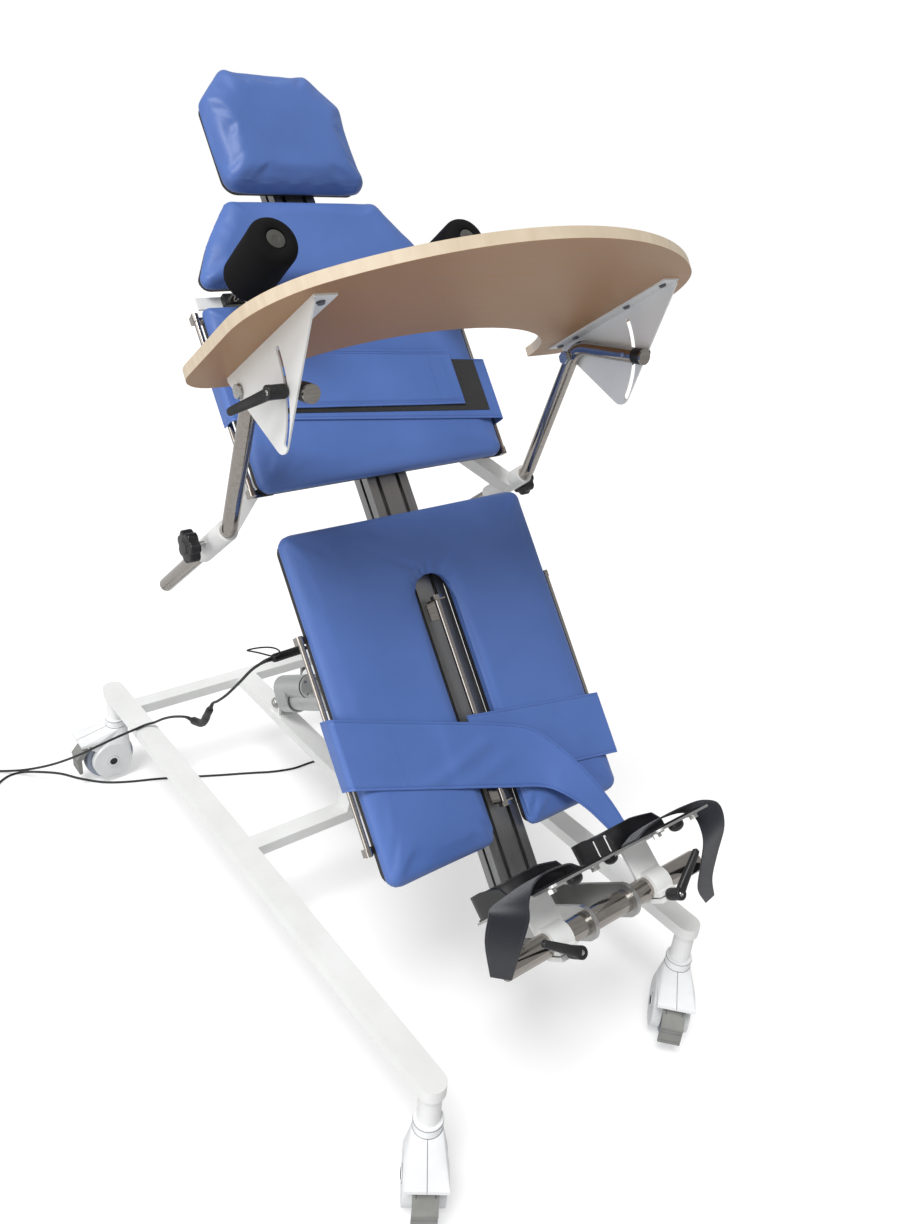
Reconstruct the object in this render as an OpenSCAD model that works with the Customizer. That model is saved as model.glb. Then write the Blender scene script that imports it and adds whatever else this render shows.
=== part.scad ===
// Physiotherapy tilt table on a four-wheeled base, with a tray, side bolsters and foot supports.
// Millimetres, +Z up, +X to the table's right as seen from its foot end, head end towards +Y.
// The origin is on the floor, in the middle of the base.

/* [Base frame] */
// Distance between the centre lines of the two side rails
rail_span = 636; // [600:1:680]
// Distance between the caster posts along a rail
wheelbase = 1380; // [1300:1:1460]
// Height of the rails' top faces above the floor
rail_top = 262; // [240:1:300]
// Width of a side rail
rail_w = 50; // [44:1:60]
// Height of every rail and cross-member
rail_h = 25; // [20:1:32]
// Wall of the rails' tube
rail_wall = 2.5; // [2:0.5:4]
// Width of the cross-members
cross_w = 40; // [34:1:48]
// Place of the rear cross-member along Y
rear_cross_y = 592; // [560:1:620]
// Place of the middle cross-member along Y
mid_cross_y = -26; // [-60:1:0]
// Diameter of the posts that hold the casters
post_d = 40; // [36:1:46]

/* [Casters] */
// Diameter of a caster wheel
wheel_d = 125; // [115:1:130]
// Width of a caster wheel
wheel_w = 32; // [28:1:36]
// Width of a caster's hood
hood_w = 74; // [66:1:80]
// Trail from a caster's stem to its axle
trail = 28; // [22:1:34]
// Height of a caster's top ring above the floor
caster_h = 172; // [168:1:180]
// Diameter of a caster's top ring
ring_d = 52; // [48:1:56]

/* [Tilting board] */
// Tilt of the board at rest, from lying flat
tilt = 51; // [30:1:70]
// Place of the tilt axis along Y
pivot_y = -118; // [-140:1:-100]
// Height of the tilt axis
pivot_z = 750; // [720:1:800]
// Distance of the tilt axis from the leg pad's top edge, along the board
pivot_s = 200; // [180:1:240]
// Depth of the tilt axis behind the pads' front
pivot_off = 133; // [126:1:145]
// Width of the three wide pads
pad_w = 560; // [520:1:600]
// Thickness of a pad's upholstery
pad_t = 28; // [22:1:36]
// Thickness of a backing board
backing_t = 10; // [8:1:14]
// Length of the leg pad
leg_len = 643; // [600:1:680]
// Gap between the leg pad and the back pad
mid_gap = 70; // [50:1:90]
// Length of the back pad
back_len = 361; // [330:1:380]
// Gap between the back pad and the shoulder pad
upper_gap = 27; // [24:1:60]
// Length of the shoulder pad
shoulder_len = 179; // [150:1:190]
// Width of the shoulder pad at its top
shoulder_top_w = 328; // [300:1:360]
// Width of the slot in the leg pad
slot_w = 76; // [70:1:84]
// Distance of the slot's end from the leg pad's top edge
slot_top = 130; // [110:1:160]
// Width of the spine profile
spine_w = 90; // [86:1:94]
// Depth of the spine profile
spine_t = 45; // [42:1:48]

/* [Head pad] */
// Width of the head pad
head_w = 307; // [280:1:330]
// Width of the head pad's top edge
head_top_w = 184; // [160:1:210]
// Length of the head pad
head_len = 252; // [230:1:270]
// Thickness of the head pad's upholstery
head_t = 44; // [38:1:52]

/* [Tray] */
// Distance between the middles of the tray's two support tubes
tube_span = 682; // [670:1:700]
// Outer diameter of a support tube
tube_d = 28; // [26:1:30]
// Width of the tray
tray_w = 864; // [840:1:900]
// Thickness of the tray's board
tray_t = 18; // [15:1:22]
// Thickness of the bracket's sheet
sheet_t = 3; // [2:0.5:4]
// Radius of the curved slot in a tray bracket
arc_slot_r = 147; // [143:1:150]

/* [Bolsters] */
// Diameter of a side bolster
bolster_d = 90; // [80:1:96]
// Length of a side bolster
bolster_len = 145; // [130:1:160]
// Distance between the two bolsters' middles
bolster_span = 404; // [390:1:430]

/* [Foot supports] */
// Diameter of the foot bar
bar_d = 40; // [36:1:44]
// Length of the foot bar
bar_len = 454; // [440:1:490]
// Height of the foot bar in front of the pads' front
bar_off = 174; // [165:1:185]
// Distance of the foot bar from the leg pad's top edge
bar_s = 783; // [770:1:800]
// Distance between the middles of the two foot plates
foot_span = 236; // [230:1:250]
// Width of a foot plate
plate_w = 128; // [118:1:130]
// Length of a foot plate
plate_len = 285; // [260:1:300]
// Tilt of the foot plates about the bar, heels lowered
foot_turn = 15; // [0:1:20]

/* [Hidden] */
$fn = 48;
hull_fn = 32;

// Clearances and overruns
fit = 0.05;
gap = 0.3;
over = 1;
// Smallest overlap that joins two solids of one welded piece
weld = 0.5;

// Colours
paint = [0.94, 0.95, 0.94];
vinyl = [0.23, 0.37, 0.72];
black = [0.06, 0.06, 0.07];
chrome = [0.75, 0.74, 0.72];
alu = [0.62, 0.63, 0.64];
wood = [0.80, 0.68, 0.53];

// Side signs
left = -1;
right = 1;

// Helpers for outlines: each corner is [x, y, fillet radius], and the list runs round the outline
function unit(v) = v / norm(v);
function corner_arc(a, b, c, k) =
  let (p = [a[0], a[1]], q = [b[0], b[1]], t = [c[0], c[1]], r = b[2],
       u = unit(p - q), v = unit(t - q), half = acos(max(-1, min(1, u * v))) / 2,
       mid = unit(u + v), centre = q + mid * r / sin(half),
       turn = (q[0] - p[0]) * (t[1] - q[1]) - (q[1] - p[1]) * (t[0] - q[0]) > 0 ? 1 : -1,
       from = atan2((q + u * r / tan(half) - centre)[1], (q + u * r / tan(half) - centre)[0]),
       sweep = turn * (180 - 2 * half))
  [for (i = [0 : k]) let (g = from + sweep * i / k) [centre + r * [cos(g), sin(g)],
    turn * [cos(g), sin(g)]]];
function outline(corners, k) =
  let (m = len(corners))
  [for (i = [0 : m - 1]) each corner_arc(corners[(i + m - 1) % m], corners[i], corners[(i + 1) % m], k)];
function arc_points(c, r, a0, a1, k) = [for (i = [0 : k]) c + r * [cos(a0 + (a1 - a0) * i / k),
  sin(a0 + (a1 - a0) * i / k)]];
function points_of(o) = [for (e = o) e[0]];

// A cushion: the outline is stacked in levels of [inset, height, share drawn towards the middle]
module cushion(o, middle, levels) {
  n = len(o);
  m = len(levels);
  pts = [for (l = levels) each [for (e = o)
    let (q = e[0] - e[1] * l[0], d = (middle - q) * l[2]) [q[0] + d[0], q[1] + d[1], l[1]]]];
  sides = [for (j = [0 : m - 2]) each [for (i = [0 : n - 1]) each
    let (i2 = (i + 1) % n) [[j * n + i, (j + 1) * n + i, (j + 1) * n + i2],
      [j * n + i, (j + 1) * n + i2, j * n + i2]]]];
  polyhedron(pts, concat([[for (i = [0 : n - 1]) i]], [[for (i = [n - 1 : -1 : 0]) (m - 1) * n + i]],
    sides));
}

// A flat strip that follows points [x, s, n], its width lying along a list of directions
function strip_normal(p, w, i) =
  let (a = p[max(0, i - 1)], b = p[min(len(p) - 1, i + 1)]) unit(cross(unit(b - a), w[i]));
module strip(p, w, wide, thick) {
  n = len(p);
  pts = [for (i = [0 : n - 1]) let (u = strip_normal(p, w, i) * thick / 2, v = w[i] * wide[i] / 2)
    each [p[i] - v - u, p[i] + v - u, p[i] + v + u, p[i] - v + u]];
  sides = [for (i = [0 : n - 2]) each [for (k = [0 : 3]) each
    let (a = i * 4 + k, b = i * 4 + (k + 1) % 4) [[a, a + 4, b + 4], [a, b + 4, b]]]];
  polyhedron(pts, concat([[0, 1, 2], [0, 2, 3]],
    [[4 * n - 1, 4 * n - 2, 4 * n - 3], [4 * n - 1, 4 * n - 3, 4 * n - 4]], sides));
}

// A round lead through a list of points
function seg_dir(p, i) = unit(p[min(len(p) - 1, i + 1)] - p[max(0, i - 1)]);
function carry(n, d) = unit(n - (n * d) * d);
function frames(p, i = 0, n = [0.3, 0.2, 1]) =
  let (d = seg_dir(p, i), m = carry(n, d)) i == len(p) - 1 ? [[m,
    cross(d, m)]] : concat([[m, cross(d, m)]], frames(p, i + 1, m));
module lead(p, dia, sides_n) {
  f = frames(p);
  n = len(p);
  pts = [for (i = [0 : n - 1]) each [for (k = [0 : sides_n - 1])
    let (a = 360 * k / sides_n) p[i] + dia / 2 * (cos(a) * f[i][0] + sin(a) * f[i][1])]];
  walls = [for (i = [0 : n - 2]) each [for (k = [0 : sides_n - 1]) each
    let (k2 = (k + 1) % sides_n, a = i * sides_n + k, b = i * sides_n + k2)
    [[a, a + sides_n, b + sides_n], [a, b + sides_n, b]]]];
  polyhedron(pts, concat([[for (k = [0 : sides_n - 1]) k]],
    [[for (k = [sides_n - 1 : -1 : 0]) (n - 1) * sides_n + k]], walls));
}

// A cylinder along X, centred on x
module rod_x(r, x0, x1) translate([x0, 0, 0]) rotate([0, 90, 0]) cylinder(r = r, h = x1 - x0);
// A cylinder along Y between two places
module rod_y(r, y0, y1) translate([0, y1, 0]) rotate([90, 0, 0]) cylinder(r = r, h = y1 - y0);
// A plain block between two corners
module block(a, b) translate(a) cube(b - a);

// Derived places of the base
rail_x = rail_span / 2;
post_y = wheelbase / 2;
rail_bottom = rail_top - rail_h;
post_floor = caster_h;
stem_r = 11;
stem_len = 50;

// Base frame
module rail_tube(w, len_y, wall) {
  difference() {
    block([-w / 2, -len_y / 2, rail_bottom], [w / 2, len_y / 2, rail_top]);
    block([-w / 2 + wall, -len_y / 2 - over, rail_bottom + wall],
      [w / 2 - wall, len_y / 2 + over, rail_top - wall]);
  }
}
module rail_end() {
  difference() {
    union() {
      translate([0, 0, rail_bottom]) cylinder(r = rail_w / 2, h = rail_h);
      translate([0, 0, post_floor]) cylinder(r = post_d / 2, h = rail_top - rail_wall - post_floor);
    }
    translate([0, 0, post_floor - over]) cylinder(r = stem_r + fit, h = stem_len + over + gap);
  }
}
module side_rails() color(paint) for (side = [left, right]) translate([side * rail_x, 0, 0]) {
  rail_tube(rail_w, wheelbase, rail_wall);
  for (e = [-1, 1]) translate([0, e * post_y, 0]) rail_end();
}
module cross_members() color(paint) for (y = [mid_cross_y, rear_cross_y])
  block([-rail_x + rail_w / 2, y - cross_w / 2, rail_bottom],
    [rail_x - rail_w / 2, y + cross_w / 2, rail_top]);
module centre_rail() color(paint)
  block([-rail_w / 2, mid_cross_y + cross_w / 2, rail_bottom],
    [rail_w / 2, rear_cross_y - cross_w / 2, rail_top]);

// Uprights that carry the tilt shaft
shaft_r = 12.5;
upright_t = 30;
upright_in = 45;
upright_eye_r = 28;
upright_rise = pivot_z - rail_top;
upright_lean = atan2(mid_cross_y - pivot_y, upright_rise);
gland_r = 8;
gland_len = 10;
lead_d = 6;
upright_gland = [-upright_in - upright_t, -106, 690];
upright_outline = concat([[mid_cross_y + cross_w / 2, rail_top]],
  arc_points([pivot_y, pivot_z], upright_eye_r, upright_lean, 180 + upright_lean, 16),
  [[mid_cross_y - cross_w / 2, rail_top]]);
module upright_side(x0) difference() {
  translate([x0, 0, 0]) rotate([90, 0, 90]) linear_extrude(upright_t) polygon(upright_outline);
  translate([0, pivot_y, pivot_z]) rod_x(shaft_r + fit, x0 - over, x0 + upright_t + over);
}
module uprights() color(paint) {
  upright_side(upright_in);
  union() {
    upright_side(-upright_in - upright_t);
    translate([0, upright_gland[1], upright_gland[2]])
      rod_x(gland_r, upright_gland[0] - gland_len, upright_gland[0] + weld);
  }
}
collar_r = 18;
collar_t = 5;
module pivot_shaft() color(chrome) translate([0, pivot_y, pivot_z]) {
  rod_x(shaft_r, -upright_in - upright_t - collar_t, upright_in + upright_t + collar_t);
  for (side = [left, right]) rod_x(collar_r,
    side * (upright_in + upright_t + collar_t / 2) - collar_t / 2,
      side * (upright_in + upright_t + collar_t / 2) + collar_t / 2);
}

// Places on the board: on_board turns [x, s, n] into the table's frame
back_off = -pad_t - backing_t;
spine_back = back_off - spine_t;
module on_board() translate([0, pivot_y, pivot_z]) rotate([tilt, 0, 0]) translate([0, pivot_s, pivot_off])
  children();

// Actuator between the base and a lug on the spine
act_base_y = 372;
act_base_z = 296;
lug_arm = 161;
lug_y = pivot_y - lug_arm * cos(tilt);
lug_z = pivot_z - lug_arm * sin(tilt);
act_len = norm([lug_y - act_base_y, lug_z - act_base_z]);
act_angle = atan2(lug_z - act_base_z, lug_y - act_base_y);
pin_r = 8;
module on_actuator() translate([0, act_base_y, act_base_z]) rotate([act_angle, 0, 0]) children();
ear_in = 17;
ear_t = 6;
ear_r = 16;
ear_foot_w = 50;
module actuator_bracket() color(paint) {
  difference() {
    union() {
      for (side = [left, right]) {
        x0 = side * (ear_in + ear_t / 2) - ear_t / 2;
        block([x0, act_base_y - ear_r, rail_top], [x0 + ear_t, act_base_y + ear_r, act_base_z]);
        translate([0, act_base_y, act_base_z]) rod_x(ear_r, x0, x0 + ear_t);
      }
      block([-ear_in - ear_t, act_base_y - ear_foot_w / 2, rail_top],
        [ear_in + ear_t, act_base_y + ear_foot_w / 2, rail_top + ear_t / 2]);
    }
    translate([0, act_base_y, act_base_z]) rod_x(pin_r + fit, -ear_in - ear_t - over,
      ear_in + ear_t + over);
  }
}
eye_w = 28;
gear_from = 20;
gear_to = 78;
motor_r = 30;
motor_rise = 34;
motor_to = 174;
outer_r = 25;
outer_to = 540;
inner_r = 14;
head_r = 12;
module actuator_body() color(alu) on_actuator() {
  difference() {
    union() {
      rod_x(ear_r - gap, -eye_w / 2, eye_w / 2);
      block([-eye_w / 2, 0, -ear_r / 2], [eye_w / 2, gear_from + weld, ear_r / 2]);
      rod_y(motor_r, gear_from, gear_to);
      translate([0, 0, -motor_rise]) rod_y(motor_r, gear_from, motor_to);
      block([-motor_r, gear_from, -motor_rise], [motor_r, gear_to, 0]);
      rod_y(outer_r, gear_to - weld, outer_to);
    }
    rod_x(pin_r + fit, -eye_w, eye_w);
    rod_y(inner_r + fit, outer_to - act_len / 2, outer_to + over);
  }
  rod_x(pin_r, -ear_in - ear_t - collar_t, ear_in + ear_t + collar_t);
  for (side = [left, right]) rod_x(head_r,
    side * (ear_in + ear_t + gap + collar_t / 2) - collar_t / 2,
      side * (ear_in + ear_t + gap + collar_t / 2) + collar_t / 2);
}
rod_in_len = 290;
rod_eye_r = 18;
rod_eye_w = 24;
open_gap = 2;
lug_in = 18;
lug_t = 6;
module actuator_rod() color(chrome) on_actuator() {
  difference() {
    union() {
      rod_y(inner_r, act_len - rod_in_len, act_len);
      translate([0, act_len, 0]) rod_x(rod_eye_r, -rod_eye_w / 2, rod_eye_w / 2);
    }
    translate([0, act_len, 0]) rod_x(pin_r + fit, -rod_eye_w, rod_eye_w);
  }
  translate([0, act_len, 0]) rod_x(pin_r, -lug_in + open_gap, lug_in - open_gap);
}

// Control box on the right of the centre rail
box_near = 60;
box_far = 180;
box_low = 190;
box_depth = 75;
module control_box() color([0.55, 0.56, 0.58]) {
  translate([rail_w / 2, box_near, box_low]) {
    block([0, 0, 0], [box_depth, box_far - box_near, rail_top - box_low]);
    translate([box_depth / 2, box_far - box_near - weld, (rail_top - box_low) / 3])
      rod_y(gland_r, 0, gland_len + weld);
  }
}

// Casters: yaw turns the trail from +X
wheel_r = wheel_d / 2;
axle_r = 6;
hood_disc_r = 50;
wheel_gap = 3;
hood_floor = 14;
ring_h = 22;
cap_r = 15;
cap_t = 2;
pedal_w = 44;
pedal_eye_r = 7;
pedal_t = 5;
pedal_reach = 52;
pedal_rise = 55;
pedal_x = trail + pedal_reach;
pedal_z = wheel_r + pedal_rise;
pedal_pin_r = 3;
// Lip of the hood over the pedal: its reach past the pedal's eye, thickness and space above the eye
lip_reach = 24;
lip_t = 7;
lip_gap = 2;
function caster_yaw(front, side) = front ? (side < 0 ? -126 : -138) : (side < 0 ? 180 : 90);
module at_caster(front, side)
  translate([side * rail_x, (front ? -1 : 1) * post_y, 0]) rotate([0, 0, caster_yaw(front, side)])
    children();
module hood() {
  difference() {
    union() {
      hull() {
        translate([0, 0, caster_h - ring_h - rail_h]) cylinder(r = ring_d / 2, h = rail_h, $fn = hull_fn);
        translate([trail, hood_w / 2, wheel_r]) rotate([90, 0, 0])
          cylinder(r = hood_disc_r, h = hood_w, $fn = hull_fn);
      }
      hull() {
        translate([0, 0, caster_h - ring_h - rail_h]) cylinder(r = ring_d / 2, h = rail_h, $fn = hull_fn);
        block([pedal_x - lip_reach, -hood_w / 2, pedal_z + pedal_eye_r + lip_gap],
          [pedal_x + lip_reach, hood_w / 2, pedal_z + pedal_eye_r + lip_gap + lip_t]);
      }
      translate([0, 0, caster_h - ring_h - weld]) cylinder(r = ring_d / 2, h = ring_h + weld - gap);
      translate([0, 0, caster_h - ring_h]) cylinder(r = stem_r, h = ring_h + stem_len);
      for (s = [left, right]) hull() {
        translate([pedal_x, s * (pedal_w / 2 + pedal_t), pedal_z]) rotate([s * 90, 0, 0])
          cylinder(r = pedal_eye_r, h = pedal_t, $fn = hull_fn);
        translate([trail, s * (pedal_w / 2 + pedal_t), wheel_r + hood_disc_r / 2]) rotate([s * 90, 0, 0])
          cylinder(r = pedal_eye_r * 2, h = pedal_t, $fn = hull_fn);
      }
    }
    translate([trail, wheel_w / 2 + wheel_gap, wheel_r]) rotate([90, 0, 0])
      cylinder(r = wheel_r + wheel_gap, h = wheel_w + 2 * wheel_gap);
    block([trail - wheel_r * 2, -hood_w, -over], [trail + wheel_r * 2, hood_w, hood_floor]);
    translate([pedal_x, 0, pedal_z]) rotate([90, 0, 0])
      cylinder(r = pedal_pin_r + fit, h = hood_w, center = true);
    translate([trail, 0, wheel_r]) rotate([90, 0, 0]) cylinder(r = axle_r, h = hood_w + over,
      center = true);
  }
  translate([trail, 0, wheel_r]) rotate([90, 0, 0]) cylinder(r = axle_r, h = hood_w, center = true);
  for (s = [left, right]) translate([trail, s * (hood_w / 2 + cap_t / 2), wheel_r]) rotate([90, 0, 0])
    cylinder(r = cap_r, h = cap_t, center = true);
}
tread_r = 8;
module wheel() translate([trail, 0, wheel_r]) rotate([90, 0, 0]) rotate_extrude($fn = 96) difference() {
  union() {
    translate([0, -wheel_w / 2 + tread_r]) square([wheel_r, wheel_w - 2 * tread_r]);
    translate([0, -wheel_w / 2]) square([wheel_r - tread_r, wheel_w]);
    for (s = [left, right]) translate([wheel_r - tread_r, s * (wheel_w / 2 - tread_r)]) circle(r = tread_r);
  }
  translate([-wheel_r, -wheel_w]) square([wheel_r + axle_r + fit, 2 * wheel_w]);
}
tip_reach = 80;
tip_rise = 22;
low_drop = 18;
pedal_tip = [trail + tip_reach, wheel_r + tip_rise];
pedal_low = [trail + tip_reach, wheel_r - low_drop];
module pedal_bar(a, b, r) hull() for (p = [a, b])
  translate([p[0], 0, p[1]]) rotate([90, 0, 0]) cylinder(r = r, h = pedal_w - 2 * gap, center = true,
    $fn = hull_fn);
module pedal() {
  difference() {
    union() {
      pedal_bar([pedal_x, pedal_z], pedal_tip, pedal_eye_r - gap);
      pedal_bar(pedal_tip, pedal_low, pedal_t);
    }
    translate([pedal_x, 0, pedal_z]) rotate([90, 0, 0]) cylinder(r = pedal_pin_r, h = hood_w,
      center = true);
  }
  translate([pedal_x, 0, pedal_z]) rotate([90, 0, 0])
    cylinder(r = pedal_pin_r, h = pedal_w + 2 * pedal_t, center = true);
}
module caster_hood_fl() color(paint) at_caster(true, left) hood();
module caster_hood_fr() color(paint) at_caster(true, right) hood();
module caster_hood_rl() color(paint) at_caster(false, left) hood();
module caster_hood_rr() color(paint) at_caster(false, right) hood();
module caster_wheel_fl() color([0.6, 0.65, 0.75]) at_caster(true, left) wheel();
module caster_wheel_fr() color([0.6, 0.65, 0.75]) at_caster(true, right) wheel();
module caster_wheel_rl() color([0.6, 0.65, 0.75]) at_caster(false, left) wheel();
module caster_wheel_rr() color([0.6, 0.65, 0.75]) at_caster(false, right) wheel();
module caster_pedal_fl() color([0.5, 0.5, 0.48]) at_caster(true, left) pedal();
module caster_pedal_fr() color([0.5, 0.5, 0.48]) at_caster(true, right) pedal();
module caster_pedal_rl() color([0.5, 0.5, 0.48]) at_caster(false, left) pedal();
module caster_pedal_rr() color([0.5, 0.5, 0.48]) at_caster(false, right) pedal();

// Spine: an aluminium profile with grooves
groove_w = 8;
groove_t = 14;
groove_in_w = 18;
groove_lip = 4;
cap_len = 4;
module groove() {
  block([-groove_w / 2, spine_foot - over, -groove_t], [groove_w / 2, spine_head + over, over]);
  block([-groove_in_w / 2, spine_foot - over, -groove_t], [groove_in_w / 2, spine_head + over,
    -groove_lip]);
}
module spine() color(alu) on_board() {
  difference() {
    block([-spine_w / 2, spine_foot, spine_back], [spine_w / 2, spine_head, back_off]);
    for (side = [left, right]) {
      translate([side * spine_w / 4, 0, back_off]) groove();
      translate([side * spine_w / 4, 0, spine_back]) rotate([0, 180, 0]) groove();
      translate([side * spine_w / 2, 0, (spine_back + back_off) / 2]) rotate([0, side * 90, 0]) groove();
    }
  }
  for (y = [spine_foot - cap_len, spine_head]) block([-spine_w / 2, y, spine_back],
    [spine_w / 2, y + cap_len, back_off]);
}

// Bracket behind the spine with the pivot's and the actuator's ears
plate_t = 6;
cheek_in = 30;
cheek_t = 8;
cheek_r = 26;
lug_r = 20;
plate_x = 40;
plate_margin = 45;
plate_s0 = -pivot_s - lug_arm - plate_margin;
plate_s1 = -pivot_s + plate_margin;
module ear(s, r, x0, t) {
  translate([x0, 0, 0]) block([0, s - r, -pivot_off], [t, s + r, spine_back - plate_t + weld]);
  translate([0, s, -pivot_off]) rod_x(r, x0, x0 + t);
}
module pivot_bracket() color(paint) on_board() difference() {
  union() {
    block([-plate_x, plate_s0, spine_back - plate_t], [plate_x, plate_s1, spine_back]);
    for (side = [left, right]) {
      ear(-pivot_s, cheek_r, side * (cheek_in + cheek_t / 2) - cheek_t / 2, cheek_t);
      ear(-pivot_s - lug_arm, lug_r, side * (lug_in + lug_t / 2) - lug_t / 2, lug_t);
    }
  }
  translate([0, -pivot_s, -pivot_off]) rod_x(shaft_r + fit, -spine_w, spine_w);
  translate([0, -pivot_s - lug_arm, -pivot_off]) rod_x(pin_r + fit, -spine_w, spine_w);
}

// Outlines of the pads
pad_x = pad_w / 2;
pad_r = 26;
small_corner = 18;
waist_corner = 104;
back_s0 = mid_gap;
back_s1 = mid_gap + back_len;
shoulder_s0 = back_s1 + upper_gap;
shoulder_s1 = shoulder_s0 + shoulder_len;
shoulder_inset = 6;
shoulder_x = pad_x - shoulder_inset;
shoulder_mid_x = 229;
head_gap = 13;
head_s0 = shoulder_s1 + head_gap;
// Ends of the spine, past the foot bar and under the head pad
spine_past_bar = 82;
spine_past_pad = 150;
spine_foot = -bar_s - spine_past_bar;
spine_head = head_s0 + spine_past_pad;
slot_x = slot_w / 2;
slot_mouth_r = 19;
function leg_corners(inset) = [
  [-slot_x - inset, -leg_len + inset, slot_mouth_r], [-slot_x - inset, -slot_top + inset, slot_x - over],
  [slot_x + inset, -slot_top + inset, slot_x - over], [slot_x + inset, -leg_len + inset, slot_mouth_r],
  [pad_x - inset, -leg_len + inset, pad_r], [pad_x - inset, -inset, pad_r],
  [-pad_x + inset, -inset, pad_r], [-pad_x + inset, -leg_len + inset, pad_r]];
function back_corners(inset) = [
  [pad_x - inset, back_s0 + inset, pad_r], [pad_x - inset, back_s1 - inset, small_corner],
  [-pad_x + inset, back_s1 - inset, small_corner], [-pad_x + inset, back_s0 + inset, pad_r]];
function shoulder_corners(inset) = [
  [shoulder_x - inset, shoulder_s0 + inset, small_corner], [shoulder_mid_x - inset,
    (shoulder_s0 + shoulder_s1) / 2, waist_corner],
  [shoulder_top_w / 2 - inset, shoulder_s1 - inset, pad_r], [-shoulder_top_w / 2 + inset,
    shoulder_s1 - inset, pad_r],
  [-shoulder_mid_x + inset, (shoulder_s0 + shoulder_s1) / 2, waist_corner],
    [-shoulder_x + inset, shoulder_s0 + inset, small_corner]];
head_chamfer = 70;
function head_corners(inset) = [
  [head_w / 2 - inset, head_s0 + inset, pad_r], [head_w / 2 - inset,
    head_s0 + head_len - head_chamfer - inset / 2, pad_r],
  [head_top_w / 2 - inset / 2, head_s0 + head_len - inset, small_corner],
    [-head_top_w / 2 + inset / 2, head_s0 + head_len - inset, small_corner],
  [-head_w / 2 + inset, head_s0 + head_len - head_chamfer - inset / 2, pad_r],
    [-head_w / 2 + inset, head_s0 + inset, pad_r]];

// Upholstery: sides drawn in at the board, rounded front edges and a low crown
crown = 2;
edge_r = 16;
level_inset_shares = [0.16, 0.03, 0, 0.075, 0.25, 0.56, 1];
level_shares = [0, 0.2, 0.4, 0.68, 0.87, 0.96, 1];
crown_levels_share = [[0.25, 0.6], [0.6, 0.95], [0.8, 1]];
function pad_levels(t) = [for (i = [0 : len(level_shares) - 1]) [level_inset_shares[i] * edge_r,
  level_shares[i] * t, 0]];
function crown_levels(t) = [for (c = crown_levels_share) [edge_r, t + crown * c[1], c[0]]];
module leg_pad() color(vinyl) on_board()
  translate([0, 0, -pad_t]) cushion(outline(leg_corners(0), 5), [0, 0], pad_levels(pad_t + crown / 2));
module back_pad() color(vinyl) on_board() translate([0, 0, -pad_t])
  cushion(outline(back_corners(0), 5), [0, (back_s0 + back_s1) / 2],
    concat(pad_levels(pad_t), crown_levels(pad_t)));
module shoulder_pad() color(vinyl) on_board() translate([0, 0, -pad_t])
  cushion(outline(shoulder_corners(0), 5), [0, (shoulder_s0 + shoulder_s1) / 2],
    concat(pad_levels(pad_t), crown_levels(pad_t)));
module head_pad() color(vinyl) on_board() translate([0, 0, -pad_t])
  cushion(outline(head_corners(0), 5), [0, head_s0 + head_len / 2],
    concat(pad_levels(head_t), crown_levels(head_t)));

// Backing boards
board_inset = 8;
module backing(corners) linear_extrude(backing_t) polygon(points_of(outline(corners, 6)));
module backing_boards() color(black) on_board() translate([0, 0, back_off]) {
  backing(leg_corners(board_inset));
  backing(back_corners(board_inset));
  backing(shoulder_corners(board_inset));
}
runner_w = 30;
runner_t = 6;
runner_margin = 20;
runner_s1 = spine_head - runner_margin;
module head_carrier() color(black) on_board() {
  translate([0, 0, back_off]) backing(head_corners(board_inset));
  for (side = [left, right]) {
    block([side * (spine_w / 2 + gap + runner_t / 2) - runner_t / 2, head_s0 + runner_w,
      spine_back + spine_t / 3],
      [side * (spine_w / 2 + gap + runner_t / 2) + runner_t / 2, runner_s1, back_off]);
  }
}

// Welded frame behind the pads: cross bars, the tray arms with their sleeves and the bolster rail
bar_w = 40;
bar_t = 20;
bar_out = 250;
// Places of the cross bars: two on the leg pad, two on the back pad, one on the shoulder pad
bar_leg_shares = [0.155, 0.8];
bar_back_shares = [0.12, 0.85];
bar_shoulder_share = 0.54;
bar_places = concat([for (f = bar_leg_shares) -f * leg_len],
  [for (f = bar_back_shares) back_s0 + f * back_len],
  [shoulder_s0 + bar_shoulder_share * shoulder_len]);
arm_w = 30;
arm_t = 35;
arm_s = 196;
arm_x0 = 160;
sleeve_x = tube_span / 2;
sleeve_s = 33;
sleeve_off_low = -180;
sleeve_off_high = -50;
sleeve_wall = 5.5;
tube_r = tube_d / 2;
arm_off_high = spine_back;
knob_off = -115;
knob_stem_r = 5;
bolster_rail_s = (back_s1 + shoulder_s0) / 2;
bolster_rail_x = 268;
bolster_rail_t = 6;
bolster_rail_w = 22;
module tray_arm(side) {
  difference() {
    union() {
      hull() {
        translate([side * arm_x0, arm_s, arm_off_high - arm_t])
          cylinder(r = arm_w / 2, h = arm_t, $fn = hull_fn);
        translate([side * (sleeve_x - arm_w / 2), sleeve_s + arm_w / 8, arm_off_high - arm_t])
          cylinder(r = arm_w / 2, h = arm_t, $fn = hull_fn);
      }
      translate([side * sleeve_x, sleeve_s, sleeve_off_low])
        cylinder(r = tube_r + sleeve_wall, h = sleeve_off_high - sleeve_off_low);
    }
    translate([side * sleeve_x, sleeve_s, sleeve_off_low - over])
      cylinder(r = tube_r + fit, h = sleeve_off_high - sleeve_off_low + 2 * over);
    translate([side * sleeve_x, sleeve_s, knob_off]) rod_x(knob_stem_r + fit, side > 0 ? 0 : -2 * tube_d,
      side > 0 ? 2 * tube_d : 0);
  }
}
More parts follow.
